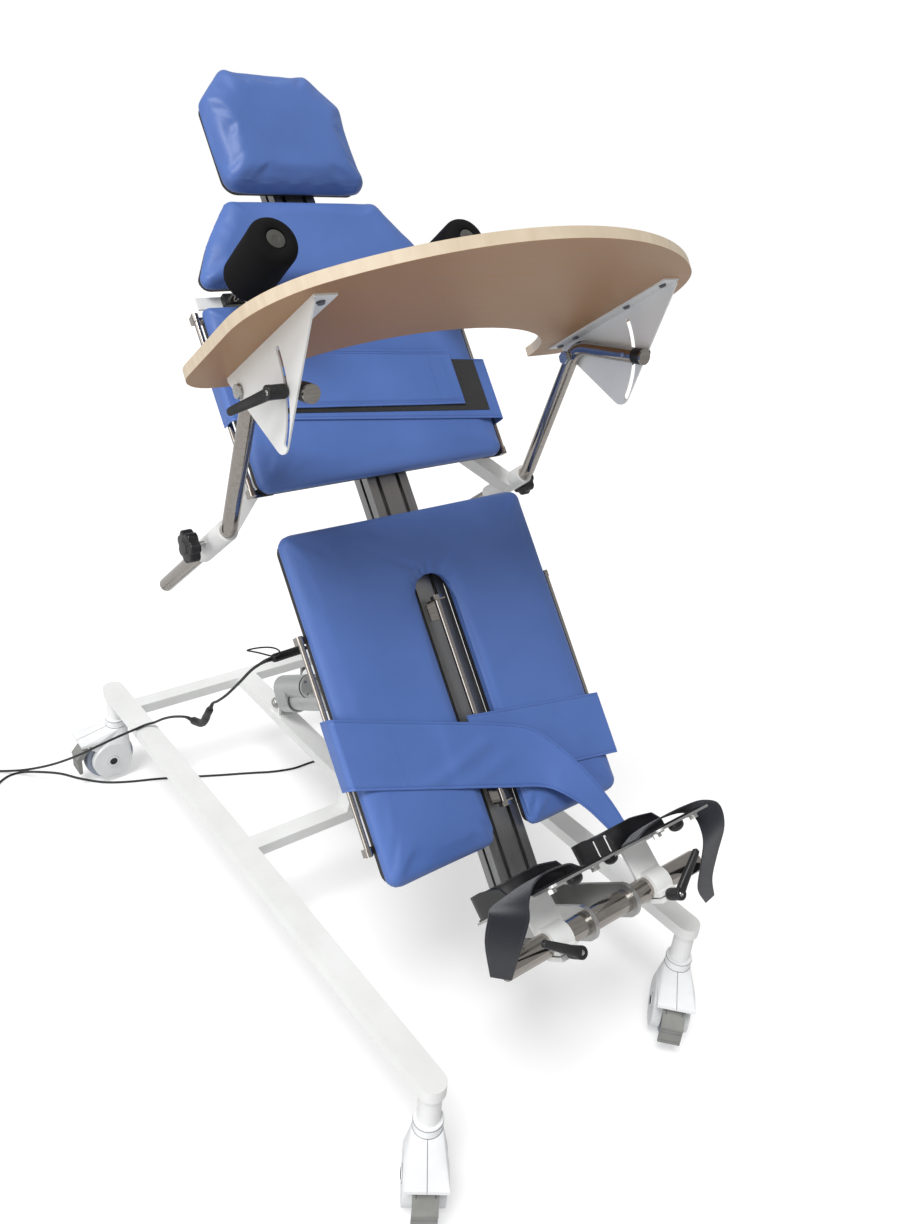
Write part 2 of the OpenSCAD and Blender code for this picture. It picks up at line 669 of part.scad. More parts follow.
module board_frame() color(paint) on_board() {
  for (s = bar_places, side = [left, right]) {
    out = s == bar_places[4] ? shoulder_mid_x - bar_w : bar_out;
    a = side * (spine_w / 2 + out) / 2;
    half = (out - spine_w / 2) / 2;
    block([a - half, s - bar_w / 2, back_off - bar_t], [a + half, s + bar_w / 2, back_off]);
  }
  for (side = [left, right]) {
    a = side * (spine_w / 2 + bolster_rail_x) / 2;
    half = (bolster_rail_x - spine_w / 2) / 2;
    block([a - half, bolster_rail_s - bolster_rail_w / 2, back_off - bolster_rail_t],
      [a + half, bolster_rail_s + bolster_rail_w / 2, back_off]);
  }
}

module tray_arms() color(paint) on_board() {
  block([-arm_x0, arm_s - arm_w / 2, arm_off_high - arm_t], [arm_x0, arm_s + arm_w / 2, arm_off_high]);
  for (side = [left, right]) tray_arm(side);
}

// Rods beside the pads that the straps run round, and their brackets
strap_rod_r = 5;
strap_rod_gap = 1.5;
strap_rod_drop = 2;
strap_rod_x = pad_x + strap_rod_r + strap_rod_gap;
strap_rod_off = -pad_t + strap_rod_drop;
ear_len = 14;
leg_rod_shares = [0.88, 0.29];
back_rod_shares = [0.04, 0.946];
leg_rod = [for (f = leg_rod_shares) -f * leg_len];
back_rod = [for (f = back_rod_shares) back_s0 + f * back_len];
tab_w = 50;
module rod_bracket(side, s) {
  difference() {
    union() {
      x0 = side * (strap_rod_x - tab_w / 2 + strap_rod_r);
      block([x0 - tab_w / 2, s - ear_len / 2, back_off - sheet_t],
        [x0 + tab_w / 2, s + ear_len / 2, back_off]);
      x1 = side * strap_rod_x;
      block([x1 - strap_rod_r, s - ear_len / 2, back_off - weld],
        [x1 + strap_rod_r, s + ear_len / 2, strap_rod_off]);
      translate([x1, 0, strap_rod_off]) rod_y(strap_rod_r + sheet_t / 2, s - ear_len / 2, s + ear_len / 2);
    }
    translate([side * strap_rod_x, 0, strap_rod_off]) rod_y(strap_rod_r - 1, s - ear_len, s + ear_len);
    block([-pad_x, s - ear_len, back_off], [pad_x, s + ear_len, 0]);
  }
}
module strap_rails() color(chrome) on_board() for (side = [left, right]) {
  for (r = [leg_rod, back_rod]) {
    for (s = r) rod_bracket(side, s);
    translate([side * strap_rod_x, 0, strap_rod_off]) {
      rod_y(strap_rod_r, r[0] + ear_len / 2, r[1] - ear_len / 2);
      rod_y(strap_rod_r - 1, r[0] - ear_len / 2, r[1] + ear_len / 2);
    }
  }
}

// Rod in the slot of the leg pad, on two angle brackets that stand on the spine
slot_rod_r = 6;
slot_rod_off = -10;
slot_rod_shares = [0.893, 0.283];
slot_rod_s = [for (f = slot_rod_shares) -f * leg_len];
nut_r = 11;
nut_t = 7;
foot_len = 34;
module slot_rod() color(chrome) on_board() {
  for (e = [0, 1]) {
    s = slot_rod_s[e];
    dir = e == 0 ? 1 : -1;
    difference() {
      union() {
        block([-nut_r - over, s - sheet_t / 2, back_off], [nut_r + over, s + sheet_t / 2,
          slot_rod_off + nut_r]);
        block([-nut_r - over, s + dir * foot_len / 2 - foot_len / 2, back_off],
          [nut_r + over, s + dir * foot_len / 2 + foot_len / 2, back_off + sheet_t]);
      }
      translate([0, 0, slot_rod_off]) rod_y(slot_rod_r + fit, s - foot_len, s + foot_len);
    }
    translate([0, s - dir * (sheet_t / 2 + nut_t / 2), slot_rod_off]) difference() {
      rotate([90, 30, 0]) cylinder(r = nut_r, h = nut_t, center = true, $fn = 6);
      rod_y(slot_rod_r + fit, -nut_t, nut_t);
    }
  }
  translate([0, 0, slot_rod_off]) rod_y(slot_rod_r, slot_rod_s[0] - sheet_t / 2 - nut_t - over,
    slot_rod_s[1] + sheet_t / 2 + nut_t + over);
}

// Straps: each runs up a side of the pad, over its front and is wide along the board
strap_t = 2.5;
strap_x = strap_rod_x + strap_rod_r + sheet_t / 2 + gap + strap_t / 2;
strap_off = crown + gap + strap_t / 2;
strap_low = strap_rod_off - strap_rod_r;
bend_r = 11;
function side_path(side) = [
  [side * strap_x, strap_low], [side * strap_x, strap_off - bend_r],
  for (i = [1 : 3]) [side * (strap_x - bend_r * (1 - cos(i * 22.5))),
    strap_off - bend_r + bend_r * sin(i * 22.5)],
  [side * (strap_x - bend_r), strap_off]];
function lift(v, s0, slope, rise) = [for (p = v) [p[0], s0 + slope * p[0], p[1] + rise]];
leg_drop = -crown / 2;
function across(x0, x1, k) = [for (i = [1 : k]) [x0 + (x1 - x0) * i / k, strap_off]];
function reverse(v) = [for (i = [len(v) - 1 : -1 : 0]) v[i]];
chest_w = 130;
chest_mid = 240;
chest_slope = -0.109;
flap_w = 115;
flap_mid = 257;
flap_slope = -0.087;
flap_end_x = 203;
module along_board(p, wide, slope) {
  w = [for (q = p) [0, 1, 0]];
  strip(p, w, [for (q = p) wide], strap_t);
}
module chest_strap() color(vinyl) on_board() {
  along_board(lift(concat(side_path(left), across(-strap_x + bend_r, strap_x - bend_r, 6),
    reverse(side_path(right))), chest_mid, chest_slope, 0), chest_w, chest_slope);
  along_board(lift(across(-strap_x + bend_r + strap_t, flap_end_x, 6), flap_mid, flap_slope,
    strap_t + gap), flap_w, flap_slope);
}
leg_strap_w = 126;
short_mid = -470;
short_slope = -0.142;
short_end_x = -70;
long_mid = -488;
long_slope = -0.32;
// Middle line of the leg strap's loose end, which leaves the front and hangs past the pad
loose_shares = [[0.304, -0.809, 0.43], [0.446, -0.871, 0.79], [0.571, -0.952, 1.07],
  [0.664, -1.033, 1.21], [0.729, -1.101, 1.25]];
loose = [for (f = loose_shares) [f[0] * pad_x, f[1] * leg_len, f[2] * pad_t]];
loose_wide_share = [0.92, 0.72, 0.52, 0.4, 0.3];
loose_dir = [[0.1, 1, 0], [0.3, 1, 0], [0.55, 1, 0.1], [0.8, 0.8, 0.1], [0.9, 0.6, 0.1]];
module leg_strap() color(vinyl) on_board() {
  along_board(lift(concat(across(short_end_x, strap_x - bend_r, 4), reverse(side_path(right))), short_mid,
    short_slope, leg_drop),
    leg_strap_w, short_slope);
  run = lift(concat(side_path(left), across(-strap_x + bend_r, short_end_x - leg_strap_w / 2, 3)),
    long_mid, long_slope, leg_drop);
  rest = lift(across(short_end_x - leg_strap_w / 6, 0, 2), long_mid, long_slope, leg_drop + strap_t + gap);
  p = concat(run, rest, loose);
  w = concat([for (q = run) [0, 1, 0]], [for (q = rest) [0, 1, 0]], [for (d = loose_dir) unit(d)]);
  wide = concat([for (q = run) leg_strap_w], [for (q = rest) leg_strap_w],
    [for (f = loose_wide_share) leg_strap_w * f]);
  strip(p, w, wide, strap_t);
}

// Bolsters: a post from a block on the rail, and a foam roll with an end disc
bolster_off_high = 177;
post_r = 8;
block_w = 40;
block_len = 22;
block_t = 14;
core_r = 18;
module bolster(side) color(black) on_board() translate([side * bolster_span / 2, bolster_rail_s, 0]) {
  difference() {
    translate([0, 0, bolster_off_high - bolster_len]) rotate_extrude() difference() {
      union() {
        square([bolster_d / 2 - bend_r, bolster_len]);
        translate([0, bend_r]) square([bolster_d / 2, bolster_len - 2 * bend_r]);
        for (y = [bend_r, bolster_len - bend_r]) translate([bolster_d / 2 - bend_r, y]) circle(r = bend_r);
      }
      translate([0, bolster_len - cap_t]) square([core_r, bolster_len]);
      square([post_r, bolster_len - 2 * bend_r]);
    }
  }
  translate([0, 0, bolster_off_high - cap_t]) cylinder(r = core_r, h = cap_t);
  translate([0, 0, back_off + gap]) cylinder(r = post_r,
    h = bolster_off_high - 2 * bend_r - back_off - gap);
  block([-block_w / 2, -block_len / 2, back_off + gap],
    [block_w / 2, block_len / 2, back_off + block_t]);
}
module bolster_left() bolster(left);
module bolster_right() bolster(right);

// Tray tubes: a straight run in the sleeve, a bend at its mouth, a riser, a bend and a rest for the tray
tube_in_off = -410;
mouth_off = -38;
top_bend_s = 196;
top_bend_off = 212;
rest_end_s = 106;
rest_end_off = 354;
mouth_bend = [sleeve_s, mouth_off];
top_bend = [top_bend_s, top_bend_off];
rest_end = [rest_end_s, rest_end_off];
bend_low_r = 30;
bend_top_r = 45;
// Place of the tray's pivot bolt and the distance along the rest of the clamp
tray_pivot_s = 184;
tray_pivot_off = 190;
tray_pivot = [tray_pivot_s, tray_pivot_off];
rest_dir = unit(rest_end - top_bend);
rest_angle = atan2(rest_dir[1], rest_dir[0]);
// The clamp sits on the rest where the curved slot crosses it
to_bend = top_bend - tray_pivot;
along = to_bend * rest_dir;
clamp_at = -along + sqrt(along * along - to_bend * to_bend + arc_slot_r * arc_slot_r);
clamp_point = top_bend + rest_dir * clamp_at;
bolt_r = 5;
riser_dir = unit(top_bend - mouth_bend);
riser_angle = atan2(riser_dir[1], riser_dir[0]);
low_turn = 90 - riser_angle;
top_turn = rest_angle - riser_angle;
low_cut = bend_low_r * tan(low_turn / 2);
top_cut = bend_top_r * tan(top_turn / 2);
// A bar from a point, along an angle in the plane across the table
module leg_at(p, angle, r, len_a) translate([0, p[0], p[1]]) rotate([angle - 90, 0, 0])
  cylinder(r = r, h = len_a);
module tube_shape(r) {
  leg_at([sleeve_s, tube_in_off], 90, r, mouth_bend[1] - low_cut - tube_in_off);
  leg_at(mouth_bend + riser_dir * low_cut, riser_angle, r, norm(top_bend - mouth_bend) - low_cut - top_cut);
  leg_at(top_bend + rest_dir * top_cut, rest_angle, r, norm(rest_end - top_bend) - top_cut);
  // The low bend turns from the sleeve's line towards the head
  translate([0, mouth_bend[0] + bend_low_r, mouth_bend[1] - low_cut]) rotate([90, 0, 90])
    rotate([0, 0, 180 - low_turn])
    rotate_extrude(angle = low_turn) translate([bend_low_r, 0]) circle(r = r);
  // The top bend turns from the riser to the rest, about a centre on its foot side
  translate([0, (top_bend - riser_dir * top_cut)[0] - bend_top_r * sin(riser_angle),
    (top_bend - riser_dir * top_cut)[1] + bend_top_r * cos(riser_angle)])
    rotate([90, 0, 90]) rotate([0, 0, riser_angle - 90]) rotate_extrude(angle = top_turn)
      translate([bend_top_r, 0]) circle(r = r);
}
plug_t = 6;
washer_r = 10;
head_h = 6;
sheet_gap = 0.5;
sheet_in = tube_r + sheet_gap;
module tray_tube(side) color(chrome) on_board() translate([side * sleeve_x, 0, 0])
  mirror([side < 0 ? 1 : 0, 0, 0]) {
  difference() {
    tube_shape(tube_r);
    for (p = [tray_pivot, clamp_point]) translate([0, p[0], p[1]]) rod_x(bolt_r + fit, -tube_d, tube_d);
  }
  leg_at(rest_end, rest_angle, tube_r, plug_t);
  translate([0, tray_pivot[0], tray_pivot[1]]) {
    rod_x(bolt_r, -tube_r - over, sheet_in + sheet_t + gap + over);
    rod_x(washer_r, sheet_in + sheet_t + gap, sheet_in + sheet_t + gap + head_h);
    rod_x(washer_r, -tube_r - over - head_h, -tube_r - over);
  }
}
module tray_tube_left() tray_tube(left);
module tray_tube_right() tray_tube(right);

// Star knobs that clamp the tubes in their sleeves
knob_r = 30;
knob_t = 22;
knob_gap = 18;
knob_neck = 4;
lobes = 7;
lobe_r = 7;
module tray_knob(side) color(black) on_board()
  translate([side * (sleeve_x + tube_r + sleeve_wall), sleeve_s, knob_off])
    mirror([side < 0 ? 1 : 0, 0, 0]) {
    rod_x(knob_stem_r, -sleeve_wall + gap, knob_gap + over);
    rod_x(knob_r / 2, knob_gap - knob_neck, knob_gap + over);
    difference() {
      rod_x(knob_r, knob_gap, knob_gap + knob_t);
      for (i = [0 : lobes - 1]) rotate([360 / lobes * i, 0, 0]) translate([0, 0, knob_r + lobe_r / 2])
        rod_x(lobe_r, knob_gap - over, knob_gap + knob_t + over);
    }
  }
module tray_knob_left() tray_knob(left);
module tray_knob_right() tray_knob(right);

// Tray: the bracket's corners lie in the plane across the table
inner_s = 219;
inner_off = 156;
top_s = 194;
top_off = 475;
tip_s = 44;
tip_off = 256;
inner_corner = [inner_s, inner_off];
top_corner = [top_s, top_off];
corner_fillet = 5;
tip_fillet = 22;
flange_w = 34;
tray_line = unit(top_corner - inner_corner);
tray_angle = atan2(tray_line[1], tray_line[0]);
module on_tray() on_board() translate([0, inner_corner[0], inner_corner[1]]) rotate([tray_angle, 0, 0])
  children();
near_y = -36;
tray_depth = 500;
front_r = 600;
corner_r = 70;
cut_margin = 132;
cut_w = tray_w - 2 * cut_margin;
cut_depth = 182;
tray_x = tray_w / 2;
front_centre = near_y + tray_depth - front_r;
shoulder_r = 190;
// The side's round stretch touches the straight side and the front arc
shoulder_cx = tray_x - shoulder_r;
shoulder_cy = front_centre + sqrt((front_r - shoulder_r) * (front_r - shoulder_r) - shoulder_cx * shoulder_cx);
join_angle = atan2(shoulder_cy - front_centre, shoulder_cx);
half_tray = concat(
  arc_points([tray_x - corner_r, near_y + corner_r], corner_r, -90, 0, 8),
  arc_points([shoulder_cx, shoulder_cy], shoulder_r, 0, join_angle, 12),
  arc_points([0, front_centre], front_r, join_angle, 90, 16));
cut_points = [for (i = [0 : 24]) let (a = 180 - 180 * i / 24) [cut_w / 2 * cos(a),
  near_y + cut_depth * sin(a)]];
tray_outline = concat(cut_points, half_tray,
  [for (i = [len(half_tray) - 2 : -1 : 0]) [-half_tray[i][0], half_tray[i][1]]]);
module tray_top() color(wood) on_tray() translate([0, 0, -tray_t]) linear_extrude(tray_t)
  polygon(tray_outline);
bracket_corners = [[inner_s, inner_off, corner_fillet], [top_s, top_off, corner_fillet],
  [tip_s, tip_off, tip_fillet]];
slot_from = 91;
slot_to = 145;
slot_half = bolt_r + gap;
// The curved slot, centred on the pivot
module arc_slot(x0, x1) translate([x0, tray_pivot[0], tray_pivot[1]]) rotate([90, 0, 90]) {
  rotate([0, 0, slot_from]) rotate_extrude(angle = slot_to - slot_from, $fn = 96)
    translate([arc_slot_r - slot_half, 0]) square([2 * slot_half, x1 - x0]);
  for (a = [slot_from, slot_to]) rotate([0, 0, a]) translate([arc_slot_r, 0, 0])
    cylinder(r = slot_half, h = x1 - x0);
}
screw_places_share = [0.06, 0.2, 0.64, 0.92];
screw_r = 5;
module bracket(side) {
  x0 = sleeve_x + sheet_in;
  mirror([side < 0 ? 1 : 0, 0, 0]) {
    difference() {
      union() {
        on_board() translate([x0, 0, 0]) rotate([90, 0, 90]) linear_extrude(sheet_t)
          polygon(points_of(outline(bracket_corners, 6)));
        on_tray() block([x0 + weld - flange_w, corner_fillet, 0],
          [x0 + sheet_t, norm(top_corner - inner_corner) - corner_fillet, sheet_t]);
      }
      on_board() translate([0, tray_pivot[0], tray_pivot[1]])
        rod_x(bolt_r + fit, x0 - over, x0 + sheet_t + over);
      on_board() arc_slot(x0 - over, x0 + sheet_t + over);
    }
    on_tray() for (f = screw_places_share)
      translate([x0 - flange_w / 2, f * norm(top_corner - inner_corner), sheet_t])
        cylinder(r = screw_r, h = sheet_t);
  }
}
module tray_brackets() color(paint) for (side = [left, right]) bracket(side);

// Clamp levers: a hub on a screw, and an arm that rises away from it
hub_r = 11;
hub_h = 32;
arm_tip_r = 6;
module clamp_lever(reach, rise) {
  hull() {
    translate([0, 0, hub_h - hub_r]) cylinder(r = hub_r, h = hub_r, $fn = hull_fn);
    translate([reach, 0, hub_h + rise]) sphere(r = arm_tip_r, $fn = hull_fn);
  }
  cylinder(r = hub_r, h = hub_h);
}
lever_reach = 84;
lever_rise = 22;
tray_lever_turn = 6;
module tray_lever(side) color(black) on_board()
  translate([side * (sleeve_x + sheet_in + sheet_t + gap), clamp_point[0], clamp_point[1]])
    mirror([side < 0 ? 1 : 0, 0, 0]) {
    rod_x(bolt_r, -sheet_in - sheet_t - tube_r - 2 * over, over);
    rotate([tray_lever_turn, 0, 0]) rotate([0, 90, 0]) clamp_lever(lever_reach, lever_rise);
  }
module tray_lever_left() tray_lever(left);
module tray_lever_right() tray_lever(right);

// Foot carriage: a shoe round the spine, and two arms that hold the foot bar
bar_r = bar_d / 2;
shoe_len = 80;
shoe_t = 8;
arm_eye_r = 30;
shoe_x = spine_w / 2 + gap;
module foot_carriage() color(chrome) on_board() difference() {
  union() {
    block([-shoe_x - shoe_t, -bar_s - shoe_len / 2, spine_back - gap - shoe_t],
      [shoe_x + shoe_t, -bar_s + shoe_len / 2, spine_back - gap]);
    for (side = [left, right]) {
      a = side * (shoe_x + shoe_t / 2);
      block([a - shoe_t / 2, -bar_s - shoe_len / 2, spine_back - gap - shoe_t],
        [a + shoe_t / 2, -bar_s + shoe_len / 2, back_off + shoe_t]);
      block([a - shoe_t / 2, -bar_s - arm_eye_r, back_off], [a + shoe_t / 2, -bar_s + arm_eye_r, bar_off]);
      translate([0, -bar_s, bar_off]) rod_x(arm_eye_r, a - shoe_t / 2, a + shoe_t / 2);
    }
  }
  translate([0, -bar_s, bar_off]) rod_x(bar_r + fit, -spine_w, spine_w);
}
bar_wall = 2.5;
module foot_bar() color(chrome) on_board() translate([0, -bar_s, bar_off]) {
  difference() {
    rod_x(bar_r, -bar_len / 2, bar_len / 2);
    rod_x(bar_r - bar_wall, -bar_len / 2 - over, bar_len / 2 + over);
  }
  for (side = [left, right]) rod_x(bar_r - bar_wall, side * (bar_len / 2 - plug_t / 2) - plug_t / 2,
    side * (bar_len / 2 - plug_t / 2) + plug_t / 2);
}
foot_x = foot_span / 2;
ring_w = 40;
ring_r = 27;
foot_rise = 78;
plate_thick = 4;
plate_off_high = 330;
web_w = 60;
web_t = 6;
ear_drop = 18;
ear_reach = 30;
slit = 3;
clamp_bolt_gap = 3;
module at_bar(side) on_board() translate([side * foot_x, -bar_s, bar_off]) children();
// The web and what it carries lean about the bar
module on_rest(side) at_bar(side) rotate([-foot_turn, 0, 0]) children();
module foot_bracket(side) color(paint) difference() {
  union() {
    at_bar(side) rod_x(ring_r, -ring_w / 2, ring_w / 2);
    at_bar(side) block([-ring_w / 2, -ear_drop - slit * 3, 0], [ring_w / 2, -ear_drop + slit * 3, ear_reach]);
    on_rest(side) block([-web_w / 2, ring_r - 2 * web_t, -web_t / 2],
      [web_w / 2, foot_rise - plate_thick - gap, web_t / 2]);
    on_rest(side) block([-web_w / 2, foot_rise - plate_thick - gap - web_t / 2, -web_w],
      [web_w / 2, foot_rise - plate_thick - gap, web_w]);
  }
  at_bar(side) rod_x(bar_r + fit, -web_w, web_w);
  at_bar(side) block([-ring_w, -ear_drop - slit / 2, 0], [ring_w, -ear_drop + slit / 2, ear_reach + over]);
  at_bar(side) translate([0, -ear_drop, bar_r + clamp_bolt_gap]) rotate([90, 0, 0])
    cylinder(r = bolt_r / 2, h = ring_w, center = true);
}
module foot_bracket_left() foot_bracket(left);
module foot_bracket_right() foot_bracket(right);
plate_corner = 12;
foot_bolt_r = 6;
foot_bolt_share = 0.36;
module on_plate(side) on_rest(side) translate([0, foot_rise, plate_off_high - bar_off]) children();
module foot_plate(side) color(chrome) on_plate(side) {
  rotate([-90, 0, 0]) mirror([0, 0, 1]) linear_extrude(plate_thick)
    polygon(points_of(outline([[-plate_w / 2, 0, plate_corner], [plate_w / 2, 0, plate_corner],
      [plate_w / 2, plate_len, plate_w / 2 - plate_corner], [-plate_w / 2, plate_len,
        plate_w / 2 - plate_corner]], 6)));
  for (f = [-1, 1]) translate([f * plate_w * foot_bolt_share, -plate_thick, -plate_w / 4])
    rotate([90, 0, 0]) cylinder(r = foot_bolt_r, h = foot_bolt_r);
}
module foot_plate_left() foot_plate(left);
module foot_plate_right() foot_plate(right);

// Harness: a heel cup, and a strap that stands over the instep and hangs down outside
cup_h = 42;
cup_t = 3;
cup_len = 125;
mat_t = 3;
strap_w = 46;
wide_tail_share = 1.2;
function cup_path(k) = [for (i = [0 : k]) let (a = 180 * i / k)
  [(plate_w / 2 - cup_t) * cos(a), cup_h / 2 + gap,
    -plate_len + plate_w / 2 + cup_t - (plate_w / 2 - cup_t) * sin(a)]];
cup_run = concat([[plate_w / 2 - cup_t, cup_h / 2 + gap, -cup_len]], cup_path(10),
  [[-plate_w / 2 + cup_t, cup_h / 2 + gap, -cup_len]]);
// Middle lines of the two instep straps, which arch over the plate and hang past the bar's ends
tail_len = 100;
tail_left_shares = [[0.62, 0.02, -0.95], [0.5, 0.06, -0.95], [0.36, 0.2, -0.95], [0.05, 0.29, -0.93],
  [-0.3, 0.29, -0.93], [-0.62, 0.2, -0.92], [-0.92, 0.03, -0.84], [-1.16, -0.13, -0.66],
  [-1.32, -0.44, -0.86], [-1.31, -0.86, -1.36]];
tail_right_shares = [[-0.62, 0.02, -0.85], [-0.5, 0.06, -0.85], [-0.3, 0.19, -0.82], [0.05, 0.25, -0.72],
  [0.4, 0.22, -0.6], [0.7, 0.12, -0.48], [0.88, -0.1, -0.4], [0.88, -0.47, -0.52],
  [0.92, -0.86, -1.02], [1.08, -1.2, -1.57], [1.37, -1.51, -1.99]];
tail_wide_left_share = [0.8, 0.8, 0.8, 0.85, 0.9, 0.95, 1, 1, 0.9, 0.55];
tail_wide_right_share = [0.85, 0.85, 0.85, 0.85, 0.85, 0.85, 0.85, 1, 1, 0.9, 0.55];
tail_dir_left = [[0, 0, 1], [0, 0, 1], [0, 0, 1], [0, 0, 1], [0.1, 0, 1], [0.3, -0.1, 1],
  [0.55, -0.35, 0.75], [0.7, -0.57, 0.42], [0.7, -0.57, 0.42], [0.7, -0.57, 0.42]];
tail_dir_right = [[0.2, 0, 1], [0.2, 0, 1], [0.2, 0, 1], [0.25, 0, 1], [0.35, 0, 0.9], [0.5, 0.03, 0.8],
  [0.65, 0.07, 0.65], [0.9, 0.13, 0.35], [1, 0.17, 0.15], [1, 0.17, 0.15], [1, 0.17, 0.15]];
module foot_harness(side) color(black) on_plate(side) {
  translate([0, 0, -plate_len + plate_corner]) block([-plate_w / 2 + plate_corner, 0, plate_w / 3],
    [plate_w / 2 - plate_corner, mat_t, plate_len - 2 * plate_corner]);
  strip(cup_run, [for (q = cup_run) [0, 1, 0]], [for (q = cup_run) cup_h], cup_t);
  p = [for (q = side < 0 ? tail_left_shares : tail_right_shares) tail_len * q];
  dirs = side < 0 ? tail_dir_left : tail_dir_right;
  wide = side < 0 ? strap_w * wide_tail_share : strap_w;
  shares = side < 0 ? tail_wide_left_share : tail_wide_right_share;
  strip(p, [for (d = dirs) unit(d)], [for (f = shares) wide * f], cup_t);
}
module foot_harness_left() foot_harness(left);
module foot_harness_right() foot_harness(right);
foot_lever_rise = 4;
foot_lever_turn_left = 147;
foot_lever_turn_right = 42;
module foot_lever(side) color(black) on_board()
  translate([side * foot_x, -bar_s - ear_drop, bar_off + ear_reach + gap])
    rotate([0, 0, side < 0 ? foot_lever_turn_left : foot_lever_turn_right])
    clamp_lever(lever_reach, foot_lever_rise);
module foot_lever_left() foot_lever(left);
module foot_lever_right() foot_lever(right);

// The lead: its middle line's points, and the parts on it
body_from = [-156, 20, 667];
body_to = [-225, 20, 664];
body_r = 9;
wire_r = 1.6;
plug_r = 9;
connector_in = [-270, 215, 450];
connector_points = [connector_in, [-270, 232, 424], [-270, 247, 400], [-271, 262, 385], [-273, 280, 378],
  [-276, 300, 373]];
connector_out = connector_points[5];
upper_points = [[-85, -106, 690], [-104, -106, 690], [-119, -96, 690], [-127, -70, 688], [-129, -36, 681],
  [-130, -4, 673],
  [-134, 14, 669], [-144, 20, 667.5], body_from];
hang_points = [body_to, [-237, 20, 663.5], [-248, 28, 654], [-256, 50, 630], [-262, 88, 584],
  [-267, 138, 528], [-270, 176, 492],
  [-270, 200, 473], connector_in];
// The coil: flat spirals in and out in two layers, climbing in the half turn between them
coil_centre = [-665, 839];
coil_turn = -37;
coil_turns = 3;
coil_rings = 24;
coil_mean_r = 36;
coil_space = 0.5;
coil_pitch = lead_d + coil_space;
coil_r = coil_mean_r + coil_turns * coil_pitch / 2;
lead_lift = 0.2;
lead_z = lead_d / 2 + lead_lift;
function coil_port(x, y, z) = [coil_centre[0] + x * cos(coil_turn) - y * sin(coil_turn),
  coil_centre[1] + x * sin(coil_turn) + y * cos(coil_turn), z];
coil_end = 720 * coil_turns + 180;
function spiral(a) = coil_r - coil_pitch * min(a, coil_end - a) / 360;
function climb(a) = lead_z + coil_pitch * (1 - cos(max(0, min(180, a - 360 * coil_turns)))) / 2;
coil_points = concat([coil_port(lead_d, coil_r, lead_z)],
  [for (a = [0 : 360 / coil_rings : coil_end]) coil_port(-spiral(a) * sin(a), spiral(a) * cos(a),
    climb(a))],
  [coil_port(lead_d, -coil_r, lead_z + coil_pitch)]);
// Smallest distance between the coil's turns, less the lead's diameter
coil_gap = min([for (i = [0 : 2 : len(coil_points) - 1])
  for (j = [i + coil_rings / 2 : len(coil_points) - 1])
  norm(coil_points[i] - coil_points[j])]) - lead_d;
echo(coil_gap = coil_gap);
rail_points = [connector_out, [-280.5, 330, 365.5], [-287, 385, 336], [-293, 430, 306], [-302, 464, 279],
  [-318, 480, 268],
  [-345, 476, 267], [-370, 478, 262], [-400, 492, 246], [-430, 520, 218], [-452, 560, 182],
    [-468, 610, 142],
  [-486, 668, 98], [-508, 726, 58], [-538, 780, 26], [-572, 822, 9],
    coil_port(lead_d * 6, coil_r, lead_z), coil_port(lead_d, coil_r, lead_z)];
floor_points = [coil_port(lead_d, -coil_r, lead_z + coil_pitch),
  coil_port(lead_d * 3, -coil_r, lead_z + coil_pitch * 0.9),
  [-655, 775, 6], [-632, 770, lead_z], [-610, 778, lead_z], [-590, 795, lead_z], [-566, 806, lead_z],
    [-535, 803, lead_z],
  [-499, 782, lead_z], [-457, 748, lead_z], [-420, 700, lead_z], [-375, 655, lead_z], [-322, 625, lead_z],
    [-260, 600, lead_z],
  [-205, 575, lead_z], [-150, 548, lead_z], [-100, 524, lead_z], [-58, 505, lead_z], [-20, 487, lead_z],
    [13, 471, lead_z],
  [50, 458, lead_z], [84, 451, lead_z], [128, 451, lead_z], [165, 447, lead_z], [196, 428, lead_z],
    [210, 396, lead_z],
  [204, 358, lead_z], [186, 322, 5], [160, 288, 16], [130, 256, 48], [98, 232, 108], [77, 223, 158],
    [66, 215, 196], [62.5, 205, 214],
  [62.5, 190, 214]];
module lead_upper() color(black) {
  lead(upper_points, lead_d, 8);
  lead(hang_points, lead_d, 8);
}
module lead_over_rail() color(black) lead(rail_points, lead_d, 8);
module lead_floor() color(black) lead(floor_points, lead_d, 8);
module lead_coil() color(black) lead(coil_points, lead_d, 6);
module between(a, b, r0, r1) {
  d = b - a;
  translate(a) rotate([0, acos(d[2] / norm(d)), atan2(d[1], d[0])]) cylinder(r1 = r0, r2 = r1, h = norm(d));
}
loop_len = 75;
loop_turn = 18;
loop_from = [-206, 20, 674];
module lead_fittings() color(black) {
  between(body_from, body_to, body_r, body_r);
  translate(loop_from) rotate([0, loop_turn, 0]) translate([-loop_len / 2, 0, 0]) rotate_extrude()
    translate([loop_len / 2 - wire_r, 0]) circle(r = wire_r);
  lead(connector_points, 2 * plug_r, 12);
}

